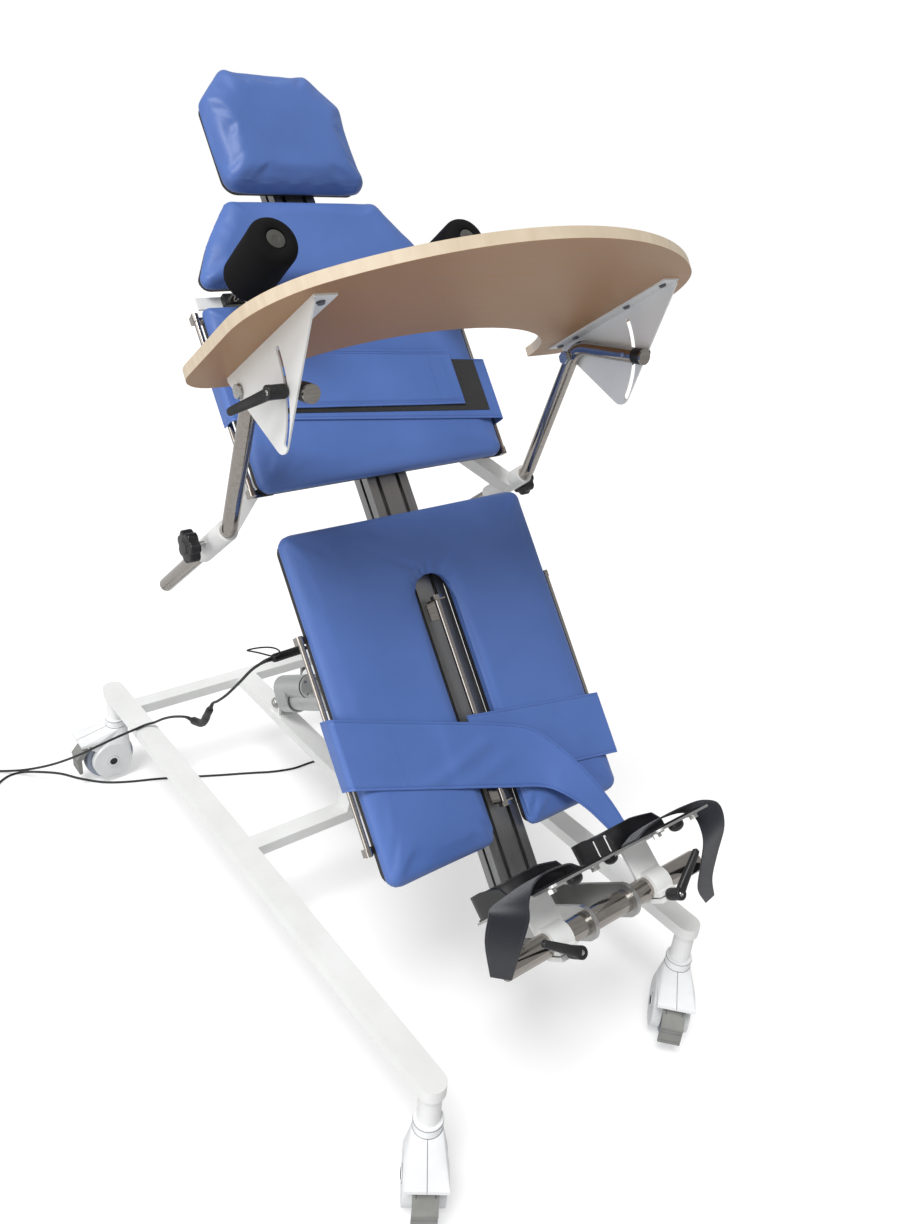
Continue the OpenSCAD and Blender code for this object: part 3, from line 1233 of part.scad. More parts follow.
side_rails();
cross_members();
centre_rail();
uprights();
pivot_shaft();
actuator_bracket();
control_box();
caster_hood_fl();
caster_hood_fr();
caster_hood_rl();
caster_hood_rr();
caster_wheel_fl();
caster_wheel_fr();
caster_wheel_rl();
caster_wheel_rr();
caster_pedal_fl();
caster_pedal_fr();
caster_pedal_rl();
caster_pedal_rr();
actuator_body();
actuator_rod();
spine();
pivot_bracket();
backing_boards();
board_frame();
tray_arms();
strap_rails();
slot_rod();
leg_pad();
back_pad();
shoulder_pad();
chest_strap();
leg_strap();
head_carrier();
head_pad();
bolster_left();
bolster_right();
tray_tube_left();
tray_tube_right();
tray_knob_left();
tray_knob_right();
tray_top();
tray_brackets();
tray_lever_left();
tray_lever_right();
foot_carriage();
foot_bar();
foot_bracket_left();
foot_bracket_right();
foot_plate_left();
foot_plate_right();
foot_harness_left();
foot_harness_right();
foot_lever_left();
foot_lever_right();
lead_upper();
lead_fittings();
lead_over_rail();
lead_coil();
lead_floor();
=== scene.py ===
import math
import bmesh
import bpy
import numpy as np
from mathutils import Matrix, Vector, noise


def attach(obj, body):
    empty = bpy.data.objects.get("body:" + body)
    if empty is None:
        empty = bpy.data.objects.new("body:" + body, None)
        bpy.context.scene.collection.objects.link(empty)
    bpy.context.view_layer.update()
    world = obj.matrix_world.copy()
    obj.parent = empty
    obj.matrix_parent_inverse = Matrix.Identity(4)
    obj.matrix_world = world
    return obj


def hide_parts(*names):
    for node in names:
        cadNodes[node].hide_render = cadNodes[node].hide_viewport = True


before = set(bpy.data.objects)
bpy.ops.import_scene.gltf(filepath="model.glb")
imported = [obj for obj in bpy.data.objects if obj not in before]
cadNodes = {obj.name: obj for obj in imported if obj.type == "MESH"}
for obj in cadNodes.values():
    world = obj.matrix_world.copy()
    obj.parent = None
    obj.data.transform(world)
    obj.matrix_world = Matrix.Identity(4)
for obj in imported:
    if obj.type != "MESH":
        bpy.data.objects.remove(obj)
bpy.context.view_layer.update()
print("frame loaded,", len(cadNodes), "nodes")

# helpers for node trees


def wire(tree, *pairs):
    # each pair is a node and its output, then a node and its input
    for one, out, other, into in pairs:
        tree.links.new(one.outputs[out], other.inputs[into])


def addNode(tree, kind, values=None, **settings):
    node = tree.nodes.new(kind)
    for key, value in settings.items():
        setattr(node, key, value)
    for key, value in (values or {}).items():
        node.inputs[key].default_value = value
    return node


# camera, light and floor

camera = {"place": (-1.0382, -1.4835, 1.6772), "yaw": -0.70728, "pitch": 0.47930, "roll": 0.09822,
          "focalPixels": 986.997, "longSide": 1224, "sensor": 36.0, "near": 0.05, "far": 60}


def makeCamera(spec):
    data = bpy.data.cameras.new("photoCamera")
    data.sensor_width = spec["sensor"]
    data.lens = spec["focalPixels"] / spec["longSide"] * spec["sensor"]
    data.clip_start, data.clip_end = spec["near"], spec["far"]
    yaw, pitch, roll = spec["yaw"], spec["pitch"], spec["roll"]
    back = Vector((math.sin(yaw) * math.cos(pitch), -math.cos(yaw) * math.cos(pitch), math.sin(pitch)))
    across = (-back).cross(Vector((0, 0, 1))).normalized()
    up = back.cross(across)
    right = across * math.cos(roll) + up * math.sin(roll)
    top = up * math.cos(roll) - across * math.sin(roll)
    cam = bpy.data.objects.new("photoCamera", data)
    cam.matrix_world = Matrix((
        (right.x, top.x, back.x, spec["place"][0]),
        (right.y, top.y, back.y, spec["place"][1]),
        (right.z, top.z, back.z, spec["place"][2]),
        (0, 0, 0, 1)))
    bpy.context.scene.collection.objects.link(cam)
    bpy.context.scene.camera = cam


light = {"sky": 0.42, "backdrop": 1.0,
         "keyPower": 2.3, "keyFrom": (-0.42, -0.24, 1.0), "keySpread": 24,
         "fillPower": 1.0, "fillFrom": (-1.0, -0.12, 0.22), "fillSpread": 45,
         "floorColour": (0.64, 0.64, 0.64), "floorSize": 14.0, "floorRoughness": 0.9, "floorShine": 0.1,
         "floorGlow": 0.42}


def makeLight(spec):
    for name, power, source, spread in (
            ("keyLight", spec["keyPower"], spec["keyFrom"], spec["keySpread"]),
            ("fillLight", spec["fillPower"], spec["fillFrom"], spec["fillSpread"])):
        data = bpy.data.lights.new(name, "SUN")
        data.energy = power
        data.angle = math.radians(spread)
        lamp = bpy.data.objects.new(name, data)
        lamp.rotation_mode = "QUATERNION"
        lamp.rotation_quaternion = Vector(source).to_track_quat("Z", "Y")
        bpy.context.scene.collection.objects.link(lamp)
    world = bpy.data.worlds.new("studio")
    bpy.context.scene.world = world
    world.use_nodes = True
    tree = world.node_tree
    tree.nodes.clear()
    out = addNode(tree, "ShaderNodeOutputWorld")
    white = (1, 1, 1, 1)
    sky = addNode(tree, "ShaderNodeBackground", {"Color": white, "Strength": spec["sky"]})
    shown = addNode(tree, "ShaderNodeBackground", {"Color": white, "Strength": spec["backdrop"]})
    path = addNode(tree, "ShaderNodeLightPath")
    mix = addNode(tree, "ShaderNodeMixShader")
    wire(tree, (path, "Is Camera Ray", mix, 0), (sky, 0, mix, 1), (shown, 0, mix, 2), (mix, 0, out, 0))
    floorMesh = bpy.data.meshes.new("floor")
    h = spec["floorSize"] / 2
    floorMesh.from_pydata([(-h, -h, 0), (h, -h, 0), (h, h, 0), (-h, h, 0)], [], [(0, 1, 2, 3)])
    floor = bpy.data.objects.new("floor", floorMesh)
    bpy.context.scene.collection.objects.link(floor)
    material = bpy.data.materials.new("floorPaint")
    material.use_nodes = True
    tree = material.node_tree
    shader = tree.nodes["Principled BSDF"]
    shader.inputs["Base Color"].default_value = (*spec["floorColour"], 1)
    shader.inputs["Roughness"].default_value = spec["floorRoughness"]
    shader.inputs["Specular IOR Level"].default_value = spec["floorShine"]
    glow = addNode(tree, "ShaderNodeEmission", {"Strength": spec["floorGlow"]})
    seen = addNode(tree, "ShaderNodeLightPath")
    lift = addNode(tree, "ShaderNodeMixShader")
    both = addNode(tree, "ShaderNodeAddShader")
    wire(tree, (shader, 0, both, 0), (glow, 0, both, 1), (seen, "Is Camera Ray", lift, 0),
         (shader, 0, lift, 1), (both, 0, lift, 2), (lift, 0, tree.nodes["Material Output"], 0))
    floorMesh.materials.append(material)


makeCamera(camera)
makeLight(light)
bpy.context.scene.view_settings.view_transform = "Standard"

# the tilted board's own directions: across, along it and out of its padded side

board = {"tilt": 51.0, "pivotY": -0.118, "pivotZ": 0.750, "pivotAlong": 0.200, "pivotDeep": 0.133}
boardTurn = Matrix.Rotation(math.radians(board["tilt"]), 4, "X")
boardPlace = (Matrix.Translation((0, board["pivotY"], board["pivotZ"])) @ boardTurn
              @ Matrix.Translation((0, board["pivotAlong"], board["pivotDeep"])))
asBuilt = Matrix.Identity(4)

# helpers for meshes


def addObject(name, mesh, material=None):
    piece = bpy.data.objects.new(name, mesh)
    bpy.context.scene.collection.objects.link(piece)
    if material is not None:
        mesh.materials.clear()
        mesh.materials.append(material)
    return piece


def closeMesh(name, bm, place, material, sharpAngle=35):
    # merges doubles, turns faces outwards, marks sharp edges and puts the place into the mesh
    bmesh.ops.remove_doubles(bm, verts=bm.verts, dist=1e-6)
    bmesh.ops.recalc_face_normals(bm, faces=bm.faces)
    limit = math.radians(sharpAngle)
    for face in bm.faces:
        face.smooth = True
    for edge in bm.edges:
        edge.smooth = not (edge.is_manifold and edge.calc_face_angle(0) > limit)
    bmesh.ops.transform(bm, matrix=place, verts=bm.verts)
    mesh = bpy.data.meshes.new(name)
    bm.to_mesh(mesh)
    bm.free()
    return addObject(name, mesh, material)


def between(a, b, c, d, t):
    # Catmull-Rom: a share t of the way from b to c, with a and d as the neighbours
    return 0.5 * (2 * b + (c - a) * t + (2 * a - 5 * b + 4 * c - d) * t * t
                  + (3 * b - a - 3 * c + d) * t ** 3)


def smoothPath(points, spacing):
    # a smooth line through the points, then resampled at an even spacing
    pts = [Vector(p) for p in points]
    pts = [pts[0] * 2 - pts[1]] + pts + [pts[-1] * 2 - pts[-2]]
    dense = []
    for i in range(1, len(pts) - 2):
        dense += [between(*pts[i - 1:i + 3], k / 16) for k in range(16)]
    dense.append(pts[-2])
    return evenPath(dense, spacing)


def evenPath(dense, spacing):
    lengths = [0.0]
    for a, b in zip(dense, dense[1:]):
        lengths.append(lengths[-1] + (b - a).length)
    count = max(2, round(lengths[-1] / spacing))
    out, j = [], 0
    for i in range(count + 1):
        want = lengths[-1] * i / count
        while j < len(lengths) - 2 and lengths[j + 1] < want:
            j += 1
        span = lengths[j + 1] - lengths[j]
        out.append(dense[j].lerp(dense[j + 1], (want - lengths[j]) / span if span else 0))
    return out


def pathLength(points):
    return sum((b - a).length for a, b in zip(points, points[1:]))


def joinRings(bm, rings, loop=False):
    made = [[bm.verts.new(p) for p in ring] for ring in rings]
    for one, two in list(zip(made, made[1:])) + ([(made[-1], made[0])] if loop else []):
        for k in range(len(one)):
            m = (k + 1) % len(one)
            bm.faces.new((one[k], one[m], two[m], two[k]))
    return made


def ringSweep(bm, rings, loop=False):
    # joins lists of points into a closed skin
    made = joinRings(bm, rings, loop)
    if not loop:
        bm.faces.new(list(reversed(made[0])))
        bm.faces.new(made[-1])


def sweepTube(bm, points, radiusAt, sides=12, loop=False):
    # radiusAt gives the radius at a share of the length, or is a number
    points = [Vector(p) for p in points]
    normal = None
    rings = []
    count = len(points)
    for i, p in enumerate(points):
        before = points[i - 1] if (i or loop) else p
        after = points[(i + 1) % count] if (i < count - 1 or loop) else p
        ahead = (after - before).normalized()
        if normal is None:
            normal = ahead.orthogonal().normalized()
        normal = (normal - ahead * normal.dot(ahead)).normalized()
        side = ahead.cross(normal)
        r = radiusAt(i / (count - 1)) if callable(radiusAt) else radiusAt
        angles = [2 * math.pi * k / sides for k in range(sides)]
        rings.append([p + r * (math.cos(a) * normal + math.sin(a) * side) for a in angles])
    ringSweep(bm, rings, loop=loop)


def turnProfile(bm, profile, sides, place=asBuilt, lobe=None):
    # profile: (radius, height) pairs from axis to axis; lobe changes a radius by height and angle
    rings = []
    for r, h in profile[1:-1]:
        ring = []
        for k in range(sides):
            angle = 2 * math.pi * k / sides
            rr = lobe(r, h, angle) if lobe else r
            ring.append(place @ Vector((rr * math.cos(angle), rr * math.sin(angle), h)))
        rings.append(ring)
    made = joinRings(bm, rings)
    for ring, (_, h) in ((made[0], profile[0]), (made[-1], profile[-1])):
        tip = bm.verts.new(place @ Vector((0, 0, h)))
        for k in range(sides):
            bm.faces.new((ring[k], ring[(k + 1) % sides], tip))


def softEdge(r, h, radius, up, steps=4):
    # points of a rounded rim that turns from the flat face (up) into the side at radius r and height h
    out = []
    for i in range(steps + 1):
        a = math.pi / 2 * i / steps
        out.append((r - radius + radius * math.sin(a), h - up * (radius - radius * math.cos(a))))
    return out


def addBlock(bm, low, high, round_=0.0, place=asBuilt):
    made = bmesh.ops.create_cube(bm, size=1.0)["verts"]
    low, high = Vector(low), Vector(high)
    for v in made:
        v.co = Vector(((low[k] + high[k]) / 2 + v.co[k] * (high[k] - low[k]) for k in range(3)))
    if round_:
        edges = list({e for v in made for e in v.link_edges})
        made = bmesh.ops.bevel(bm, geom=edges, offset=round_, segments=3, affect="EDGES")["verts"]
        made = list({v for f in {f for v in made for f in v.link_faces} for v in f.verts})
    bmesh.ops.transform(bm, matrix=place, verts=made)


def ridesOn(piece, body, slot, *replaced):
    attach(piece, body)
    if replaced:
        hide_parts(*replaced)
    return piece


def makePiece(name, bm, place, finish, body, *replaced, sharp=35):
    return ridesOn(closeMesh(name, bm, place, finishes[finish], sharp), body, slotOf[finish], *replaced)

# shader groups that more than one finish uses


def newGroup(name, inputs, outputs):
    tree = bpy.data.node_groups.new(name, "ShaderNodeTree")
    for socket, kind, value in inputs:
        made = tree.interface.new_socket(name=socket, in_out="INPUT", socket_type=kind)
        if value is not None:
            made.default_value = value
    for socket, kind in outputs:
        tree.interface.new_socket(name=socket, in_out="OUTPUT", socket_type=kind)
    return tree, tree.nodes.new("NodeGroupInput"), tree.nodes.new("NodeGroupOutput")


def makeGrainGroup():
    # fine pebbled surface with a slow change of tone over it
    tree, given, out = newGroup("fineGrain",
                                [("Vector", "NodeSocketVector", None), ("Scale", "NodeSocketFloat", 700.0),
                                              ("Slow Scale", "NodeSocketFloat", 6.0)],
                                [("Height", "NodeSocketFloat"), ("Tone", "NodeSocketFloat")])
    cells = addNode(tree, "ShaderNodeTexVoronoi", feature="SMOOTH_F1")
    fine = addNode(tree, "ShaderNodeTexNoise", {"Detail": 3.0, "Roughness": 0.6})
    slow = addNode(tree, "ShaderNodeTexNoise", {"Detail": 4.0, "Roughness": 0.55})
    half = addNode(tree, "ShaderNodeMath", {1: 0.45}, operation="MULTIPLY")
    total = addNode(tree, "ShaderNodeMath", operation="ADD")
    wire(tree, (given, "Vector", cells, "Vector"), (given, "Vector", fine, "Vector"),
         (given, "Vector", slow, "Vector"), (given, "Scale", cells, "Scale"),
         (given, "Scale", half, 0), (half, 0, fine, "Scale"), (given, "Slow Scale", slow, "Scale"),
         (cells, "Distance", total, 0), (fine, "Fac", total, 1), (total, 0, out, "Height"),
         (slow, "Fac", out, "Tone"))
    return tree


def makeScuffGroup():
    # thin marks that run along one direction, and small worn spots
    tree, given, out = newGroup("scuffs", [("Vector", "NodeSocketVector", None),
                                           ("Stretch", "NodeSocketVector", (40, 700, 700)),
                                           ("Spots", "NodeSocketFloat", 30.0),
                                           ("Amount", "NodeSocketFloat", 0.5)],
                                [("Lines", "NodeSocketFloat"), ("Worn", "NodeSocketFloat")])
    scale = addNode(tree, "ShaderNodeVectorMath", operation="MULTIPLY")
    lines = addNode(tree, "ShaderNodeTexNoise", {"Scale": 1.0, "Detail": 5.0, "Roughness": 0.65})
    spots = addNode(tree, "ShaderNodeTexNoise", {"Detail": 6.0, "Roughness": 0.7})
    ramp = addNode(tree, "ShaderNodeMapRange", {"From Min": 0.62, "From Max": 0.74})
    weigh = addNode(tree, "ShaderNodeMath", operation="MULTIPLY")
    wire(tree, (given, "Vector", scale, 0), (given, "Stretch", scale, 1), (scale, 0, lines, "Vector"),
         (given, "Vector", spots, "Vector"), (given, "Spots", spots, "Scale"),
         (spots, "Fac", ramp, "Value"), (ramp, 0, weigh, 0), (given, "Amount", weigh, 1),
         (lines, "Fac", out, "Lines"), (weigh, 0, out, "Worn"))
    return tree


def makeWeaveGroup():
    # two sets of threads that cross
    tree, given, out = newGroup("webbingWeave", [("Vector", "NodeSocketVector", None),
                                                 ("Threads", "NodeSocketFloat", 900.0)],
                                [("Height", "NodeSocketFloat"), ("Threads", "NodeSocketFloat")])
    waves = []
    for direction in ("X", "Z"):
        wave = addNode(tree, "ShaderNodeTexWave", {"Distortion": 0.6, "Detail": 1.0},
                       bands_direction=direction)
        wire(tree, (given, "Vector", wave, "Vector"), (given, "Threads", wave, "Scale"))
        waves.append(wave)
    both = addNode(tree, "ShaderNodeMath", operation="MULTIPLY")
    wire(tree, (waves[0], "Fac", both, 0), (waves[1], "Fac", both, 1), (both, 0, out, "Height"),
         (waves[0], "Fac", out, "Threads"))
    return tree


def makeDustGroup():
    # pale dust in patches set by a noise
    tree, given, out = newGroup("settledDust", [("Vector", "NodeSocketVector", None),
                                                ("Colour", "NodeSocketColor", (0.5, 0.5, 0.5, 1)),
                                                ("Dust", "NodeSocketColor", (0.62, 0.6, 0.57, 1)),
                                                ("Amount", "NodeSocketFloat", 0.15)],
                                [("Colour", "NodeSocketColor"), ("Mask", "NodeSocketFloat")])
    patches = addNode(tree, "ShaderNodeTexNoise", {"Scale": 14.0, "Detail": 6.0, "Roughness": 0.65})
    ramp = addNode(tree, "ShaderNodeMapRange", {"From Min": 0.4, "From Max": 0.75})
    weigh = addNode(tree, "ShaderNodeMath", operation="MULTIPLY")
    mix = addNode(tree, "ShaderNodeMix", data_type="RGBA")
    wire(tree, (given, "Vector", patches, "Vector"), (patches, "Fac", ramp, "Value"), (ramp, 0, weigh, 0),
         (given, "Amount", weigh, 1), (weigh, 0, mix, 0), (given, "Colour", mix, 6),
         (given, "Dust", mix, 7), (mix, 2, out, "Colour"), (weigh, 0, out, "Mask"))
    return tree


grainGroup, scuffGroup = makeGrainGroup(), makeScuffGroup()
weaveGroup, dustGroup = makeWeaveGroup(), makeDustGroup()


def startFinish(name, roughness=0.5, metallic=0.0, coat=0.0, coatRoughness=0.1, specular=0.5, sheen=0.0):
    material = bpy.data.materials.new(name)
    material.use_nodes = True
    tree = material.node_tree
    shader = tree.nodes["Principled BSDF"]
    shader.inputs["Roughness"].default_value = roughness
    shader.inputs["Metallic"].default_value = metallic
    shader.inputs["Coat Weight"].default_value = coat
    shader.inputs["Coat Roughness"].default_value = coatRoughness
    shader.inputs["Specular IOR Level"].default_value = specular
    shader.inputs["Sheen Weight"].default_value = sheen
    where = tree.nodes.new("ShaderNodeTexCoord")
    turn = addNode(tree, "ShaderNodeMapping")
    wire(tree, (where, "Object", turn, "Vector"))
    return material, tree, shader, turn


def placeGroup(tree, group, vector, **values):
    node = tree.nodes.new("ShaderNodeGroup")
    node.node_tree = group
    for key, value in values.items():
        node.inputs[key.replace("_", " ")].default_value = value
    tree.links.new(vector, node.inputs["Vector"])
    return node


def bumpTo(tree, shader, height, strength, distance):
    bump = addNode(tree, "ShaderNodeBump", {"Strength": strength, "Distance": distance})
    tree.links.new(height, bump.inputs["Height"])
    wire(tree, (bump, 0, shader, "Normal"))
    return bump


def toneMix(tree, factor, dark, pale, low=0.3, high=0.7):
    spread = addNode(tree, "ShaderNodeMapRange", {"From Min": low, "From Max": high})
    mix = addNode(tree, "ShaderNodeMix", data_type="RGBA")
    mix.inputs[6].default_value = (*dark, 1)
    mix.inputs[7].default_value = (*pale, 1)
    tree.links.new(factor, spread.inputs["Value"])
    wire(tree, (spread, 0, mix, 0))
    return mix.outputs[2]


def roughBetween(tree, shader, factor, low, high):
    spread = addNode(tree, "ShaderNodeMapRange", {"From Min": 0.3, "From Max": 0.7, "To Min": low,
                                                  "To Max": high})
    tree.links.new(factor, spread.inputs["Value"])
    wire(tree, (spread, 0, shader, "Roughness"))


paint = {"dark": (0.80, 0.81, 0.80), "pale": (0.87, 0.88, 0.87), "dust": (0.55, 0.53, 0.48),
         "dustShare": 0.12}


def makePaint(name, spec):
    material, tree, shader, turn = startFinish(name, coat=0.25, coatRoughness=0.25)
    grain = placeGroup(tree, grainGroup, turn.outputs[0], Scale=900.0, Slow_Scale=5.0)
    tone = toneMix(tree, grain.outputs["Tone"], spec["dark"], spec["pale"])
    dust = placeGroup(tree, dustGroup, turn.outputs[0], Dust=(*spec["dust"], 1), Amount=spec["dustShare"])
    tree.links.new(tone, dust.inputs["Colour"])
    wire(tree, (dust, "Colour", shader, "Base Color"))
    roughBetween(tree, shader, grain.outputs["Tone"], 0.34, 0.46)
    bumpTo(tree, shader, grain.outputs["Height"], 0.12, 0.0006)
    return material


vinyl = {"dark": (0.072, 0.145, 0.41), "pale": (0.090, 0.174, 0.48), "grain": 620.0}


def makeVinyl(name, spec):
    material, tree, shader, turn = startFinish(name, specular=0.4, sheen=0.05)
    grain = placeGroup(tree, grainGroup, turn.outputs[0], Scale=spec["grain"], Slow_Scale=4.0)
    tone = toneMix(tree, grain.outputs["Tone"], spec["dark"], spec["pale"], 0.35, 0.65)
    tree.links.new(tone, shader.inputs["Base Color"])
    roughBetween(tree, shader, grain.outputs["Tone"], 0.40, 0.50)
    bumpTo(tree, shader, grain.outputs["Height"], 0.22, 0.0007)
    return material


def makePlastic(name, dark, pale, roughness, grainScale=1100.0, bump=0.15, specular=0.45):
    material, tree, shader, turn = startFinish(name, roughness=roughness, specular=specular)
    grain = placeGroup(tree, grainGroup, turn.outputs[0], Scale=grainScale, Slow_Scale=22.0)
    tree.links.new(toneMix(tree, grain.outputs["Tone"], dark, pale), shader.inputs["Base Color"])
    roughBetween(tree, shader, grain.outputs["Tone"], roughness - 0.06, roughness + 0.08)
    bumpTo(tree, shader, grain.outputs["Height"], bump, 0.0005)
    return material


def makeMetal(name, dark, pale, low, high, stretch, tilt=0.0, bump=0.05):
    # stretch sets the direction of the brushing, tilt turns it onto the board
    material, tree, shader, turn = startFinish(name, metallic=1.0)
    turn.inputs["Rotation"].default_value = (-math.radians(tilt), 0, 0)
    marks = placeGroup(tree, scuffGroup, turn.outputs[0], Stretch=stretch, Spots=26.0, Amount=0.6)
    tree.links.new(toneMix(tree, marks.outputs["Lines"], dark, pale), shader.inputs["Base Color"])
    roughBetween(tree, shader, marks.outputs["Lines"], low, high)
    bumpTo(tree, shader, marks.outputs["Lines"], bump, 0.0004)
    return material


def makeWebbing(name, dark, pale, threads, roughness):
    material, tree, shader, turn = startFinish(name, roughness=roughness, specular=0.2, sheen=0.35)
    weave = placeGroup(tree, weaveGroup, turn.outputs[0], Threads=threads)
    tree.links.new(toneMix(tree, weave.outputs["Threads"], dark, pale), shader.inputs["Base Color"])
    bumpTo(tree, shader, weave.outputs["Height"], 0.55, 0.0006)
    return material


tray = {"lean": 94.483, "inner": (0.219, 0.156), "thick": 0.018, "skin": 0.0004,
        "underDark": (0.345, 0.180, 0.078), "underPale": (0.42, 0.230, 0.105),
        "topDark": (0.60, 0.46, 0.30), "topPale": (0.68, 0.54, 0.37),
        "edgeDark": (0.62, 0.50, 0.36), "edgePale": (0.72, 0.61, 0.46)}
trayPlace = (boardPlace @ Matrix.Translation((0, tray["inner"][0], tray["inner"][1]))
             @ Matrix.Rotation(math.radians(tray["lean"]), 4, "X"))


def makeTrayWood(spec):
    # laminate on both faces and a paler solid edge, told apart by the depth in the tray's own direction
    material, tree, shader, turn = startFinish("trayWood", coat=0.15, coatRoughness=0.3)
    inverse = trayPlace.inverted()
    turn.inputs["Rotation"].default_value = inverse.to_euler()
    turn.inputs["Location"].default_value = inverse.to_translation()
    parts = addNode(tree, "ShaderNodeSeparateXYZ")
    stretch = addNode(tree, "ShaderNodeVectorMath", {1: (9, 90, 9)}, operation="MULTIPLY")
    figure = addNode(tree, "ShaderNodeTexNoise", {"Scale": 1.0, "Detail": 8.0, "Roughness": 0.62,
                                                  "Distortion": 0.4})
    flecks = addNode(tree, "ShaderNodeTexNoise", {"Scale": 420.0, "Detail": 3.0, "Roughness": 0.7})
    both = addNode(tree, "ShaderNodeMath", {1: 0.55}, operation="MULTIPLY_ADD")
    half = addNode(tree, "ShaderNodeMath", {1: 0.45}, operation="MULTIPLY")
    wire(tree, (turn, 0, parts, 0), (turn, 0, stretch, 0), (stretch, 0, figure, "Vector"),
         (turn, 0, flecks, "Vector"), (flecks, "Fac", both, 0), (figure, "Fac", half, 0),
         (half, 0, both, 2))
    under = toneMix(tree, both.outputs[0], spec["underDark"], spec["underPale"])
    top = toneMix(tree, figure.outputs["Fac"], spec["topDark"], spec["topPale"])
    edge = toneMix(tree, figure.outputs["Fac"], spec["edgeDark"], spec["edgePale"])
    isTop = addNode(tree, "ShaderNodeMath", {1: spec["skin"] - spec["thick"]}, operation="LESS_THAN")
    isUnder = addNode(tree, "ShaderNodeMath", {1: -spec["skin"]}, operation="GREATER_THAN")
    one = addNode(tree, "ShaderNodeMix", data_type="RGBA")
    two = addNode(tree, "ShaderNodeMix", data_type="RGBA")
    wire(tree, (parts, "Z", isTop, 0), (parts, "Z", isUnder, 0), (isTop, 0, one, 0), (isUnder, 0, two, 0),
         (one, 2, two, 6), (two, 2, shader, "Base Color"))
    for tone, node, into in ((edge, one, 6), (top, one, 7), (under, two, 7)):
        tree.links.new(tone, node.inputs[into])
    roughBetween(tree, shader, figure.outputs["Fac"], 0.38, 0.5)
    bumpTo(tree, shader, flecks.outputs["Fac"], 0.08, 0.0004)
    return material


def makeCable(name):
    material, tree, shader, turn = startFinish(name, roughness=0.42, specular=0.4)
    grain = placeGroup(tree, grainGroup, turn.outputs[0], Scale=1500.0, Slow_Scale=30.0)
    tree.links.new(toneMix(tree, grain.outputs["Tone"], (0.008, 0.008, 0.009), (0.02, 0.02, 0.022)),
                   shader.inputs["Base Color"])
    bumpTo(tree, shader, grain.outputs["Height"], 0.1, 0.0003)
    return material


finishes = {
    "paint": makePaint("whitePaint", paint),
    "hood": makePlastic("whiteNylon", (0.78, 0.79, 0.8), (0.85, 0.86, 0.87), 0.36, bump=0.06),
    "vinyl": makeVinyl("blueVinyl", vinyl),
    "blackVinyl": makePlastic("blackVinyl", (0.006, 0.006, 0.007), (0.014, 0.014, 0.016), 0.62, 900.0, 0.3),
    "blackPlastic": makePlastic("blackPlastic", (0.007, 0.007, 0.008), (0.016, 0.016, 0.018), 0.36),
    "leverPlastic": makePlastic("leverPlastic", (0.009, 0.009, 0.010), (0.020, 0.020, 0.022), 0.42, 700.0,
                                0.18),
    "foam": makePlastic("rollFoam", (0.005, 0.005, 0.0055), (0.010, 0.010, 0.011), 0.85, 1100.0, 0.5, 0.12),
    "rubber": makePlastic("matRubber", (0.010, 0.010, 0.011), (0.018, 0.018, 0.020), 0.7, 800.0, 0.3, 0.2),
    "greyPlastic": makePlastic("greyPlastic", (0.24, 0.25, 0.26), (0.30, 0.31, 0.32), 0.48),
    "rollDisc": makePlastic("rollDisc", (0.060, 0.060, 0.056), (0.090, 0.090, 0.084), 0.5),
    "pedal": makePlastic("pedalGrey", (0.20, 0.20, 0.19), (0.27, 0.27, 0.255), 0.5),
    "wheel": makePlastic("wheelTread", (0.28, 0.32, 0.40), (0.35, 0.39, 0.47), 0.4, 300.0, 0.05),
    "hub": makePlastic("wheelHub", (0.10, 0.11, 0.13), (0.16, 0.17, 0.19), 0.4),
    "board": makePlastic("boardBlack", (0.012, 0.012, 0.014), (0.022, 0.022, 0.026), 0.55),
    # bright steel: its colour is darkened and tinted brown, a painted reflection of a darker room than the
    # white world gives
    "chrome": makeMetal("brightSteel", (0.36, 0.325, 0.295), (0.47, 0.44, 0.41), 0.09, 0.17, (30, 260, 260),
                        bump=0.02),
    "brushed": makeMetal("brushedSteel", (0.42, 0.42, 0.41), (0.6, 0.6, 0.59), 0.26, 0.42, (40, 900, 900),
                         bump=0.08),
    # anodised spine: its colour is darkened as painted shade, for the shadow its grooved profile lies in
    "spine": makeMetal("anodisedSpine", (0.27, 0.27, 0.27), (0.37, 0.37, 0.37), 0.34, 0.46, (900, 24, 900),
                       51.0, 0.06),
    "ram": makeMetal("actuatorCase", (0.60, 0.61, 0.61), (0.72, 0.73, 0.73), 0.32, 0.44, (500, 40, 500),
                     -29.0, 0.05),
    "wood": makeTrayWood(tray),
    "webbing": makeWebbing("blackWebbing", (0.006, 0.007, 0.012), (0.022, 0.024, 0.034), 700.0, 0.8),
    "hook": makeWebbing("hookTape", (0.004, 0.004, 0.005), (0.012, 0.012, 0.013), 420.0, 0.9),
    "cable": makeCable("cableBlack"),
    "thread": makeWebbing("blueThread", (0.05, 0.10, 0.38), (0.09, 0.17, 0.52), 2500.0, 0.6),
    "darkThread": makeWebbing("darkThread", (0.03, 0.03, 0.036), (0.07, 0.07, 0.08), 2500.0, 0.6),
    "zinc": makeMetal("zincBolt", (0.45, 0.45, 0.44), (0.62, 0.62, 0.6), 0.24, 0.36, (400, 400, 400),
                      bump=0.03),
}
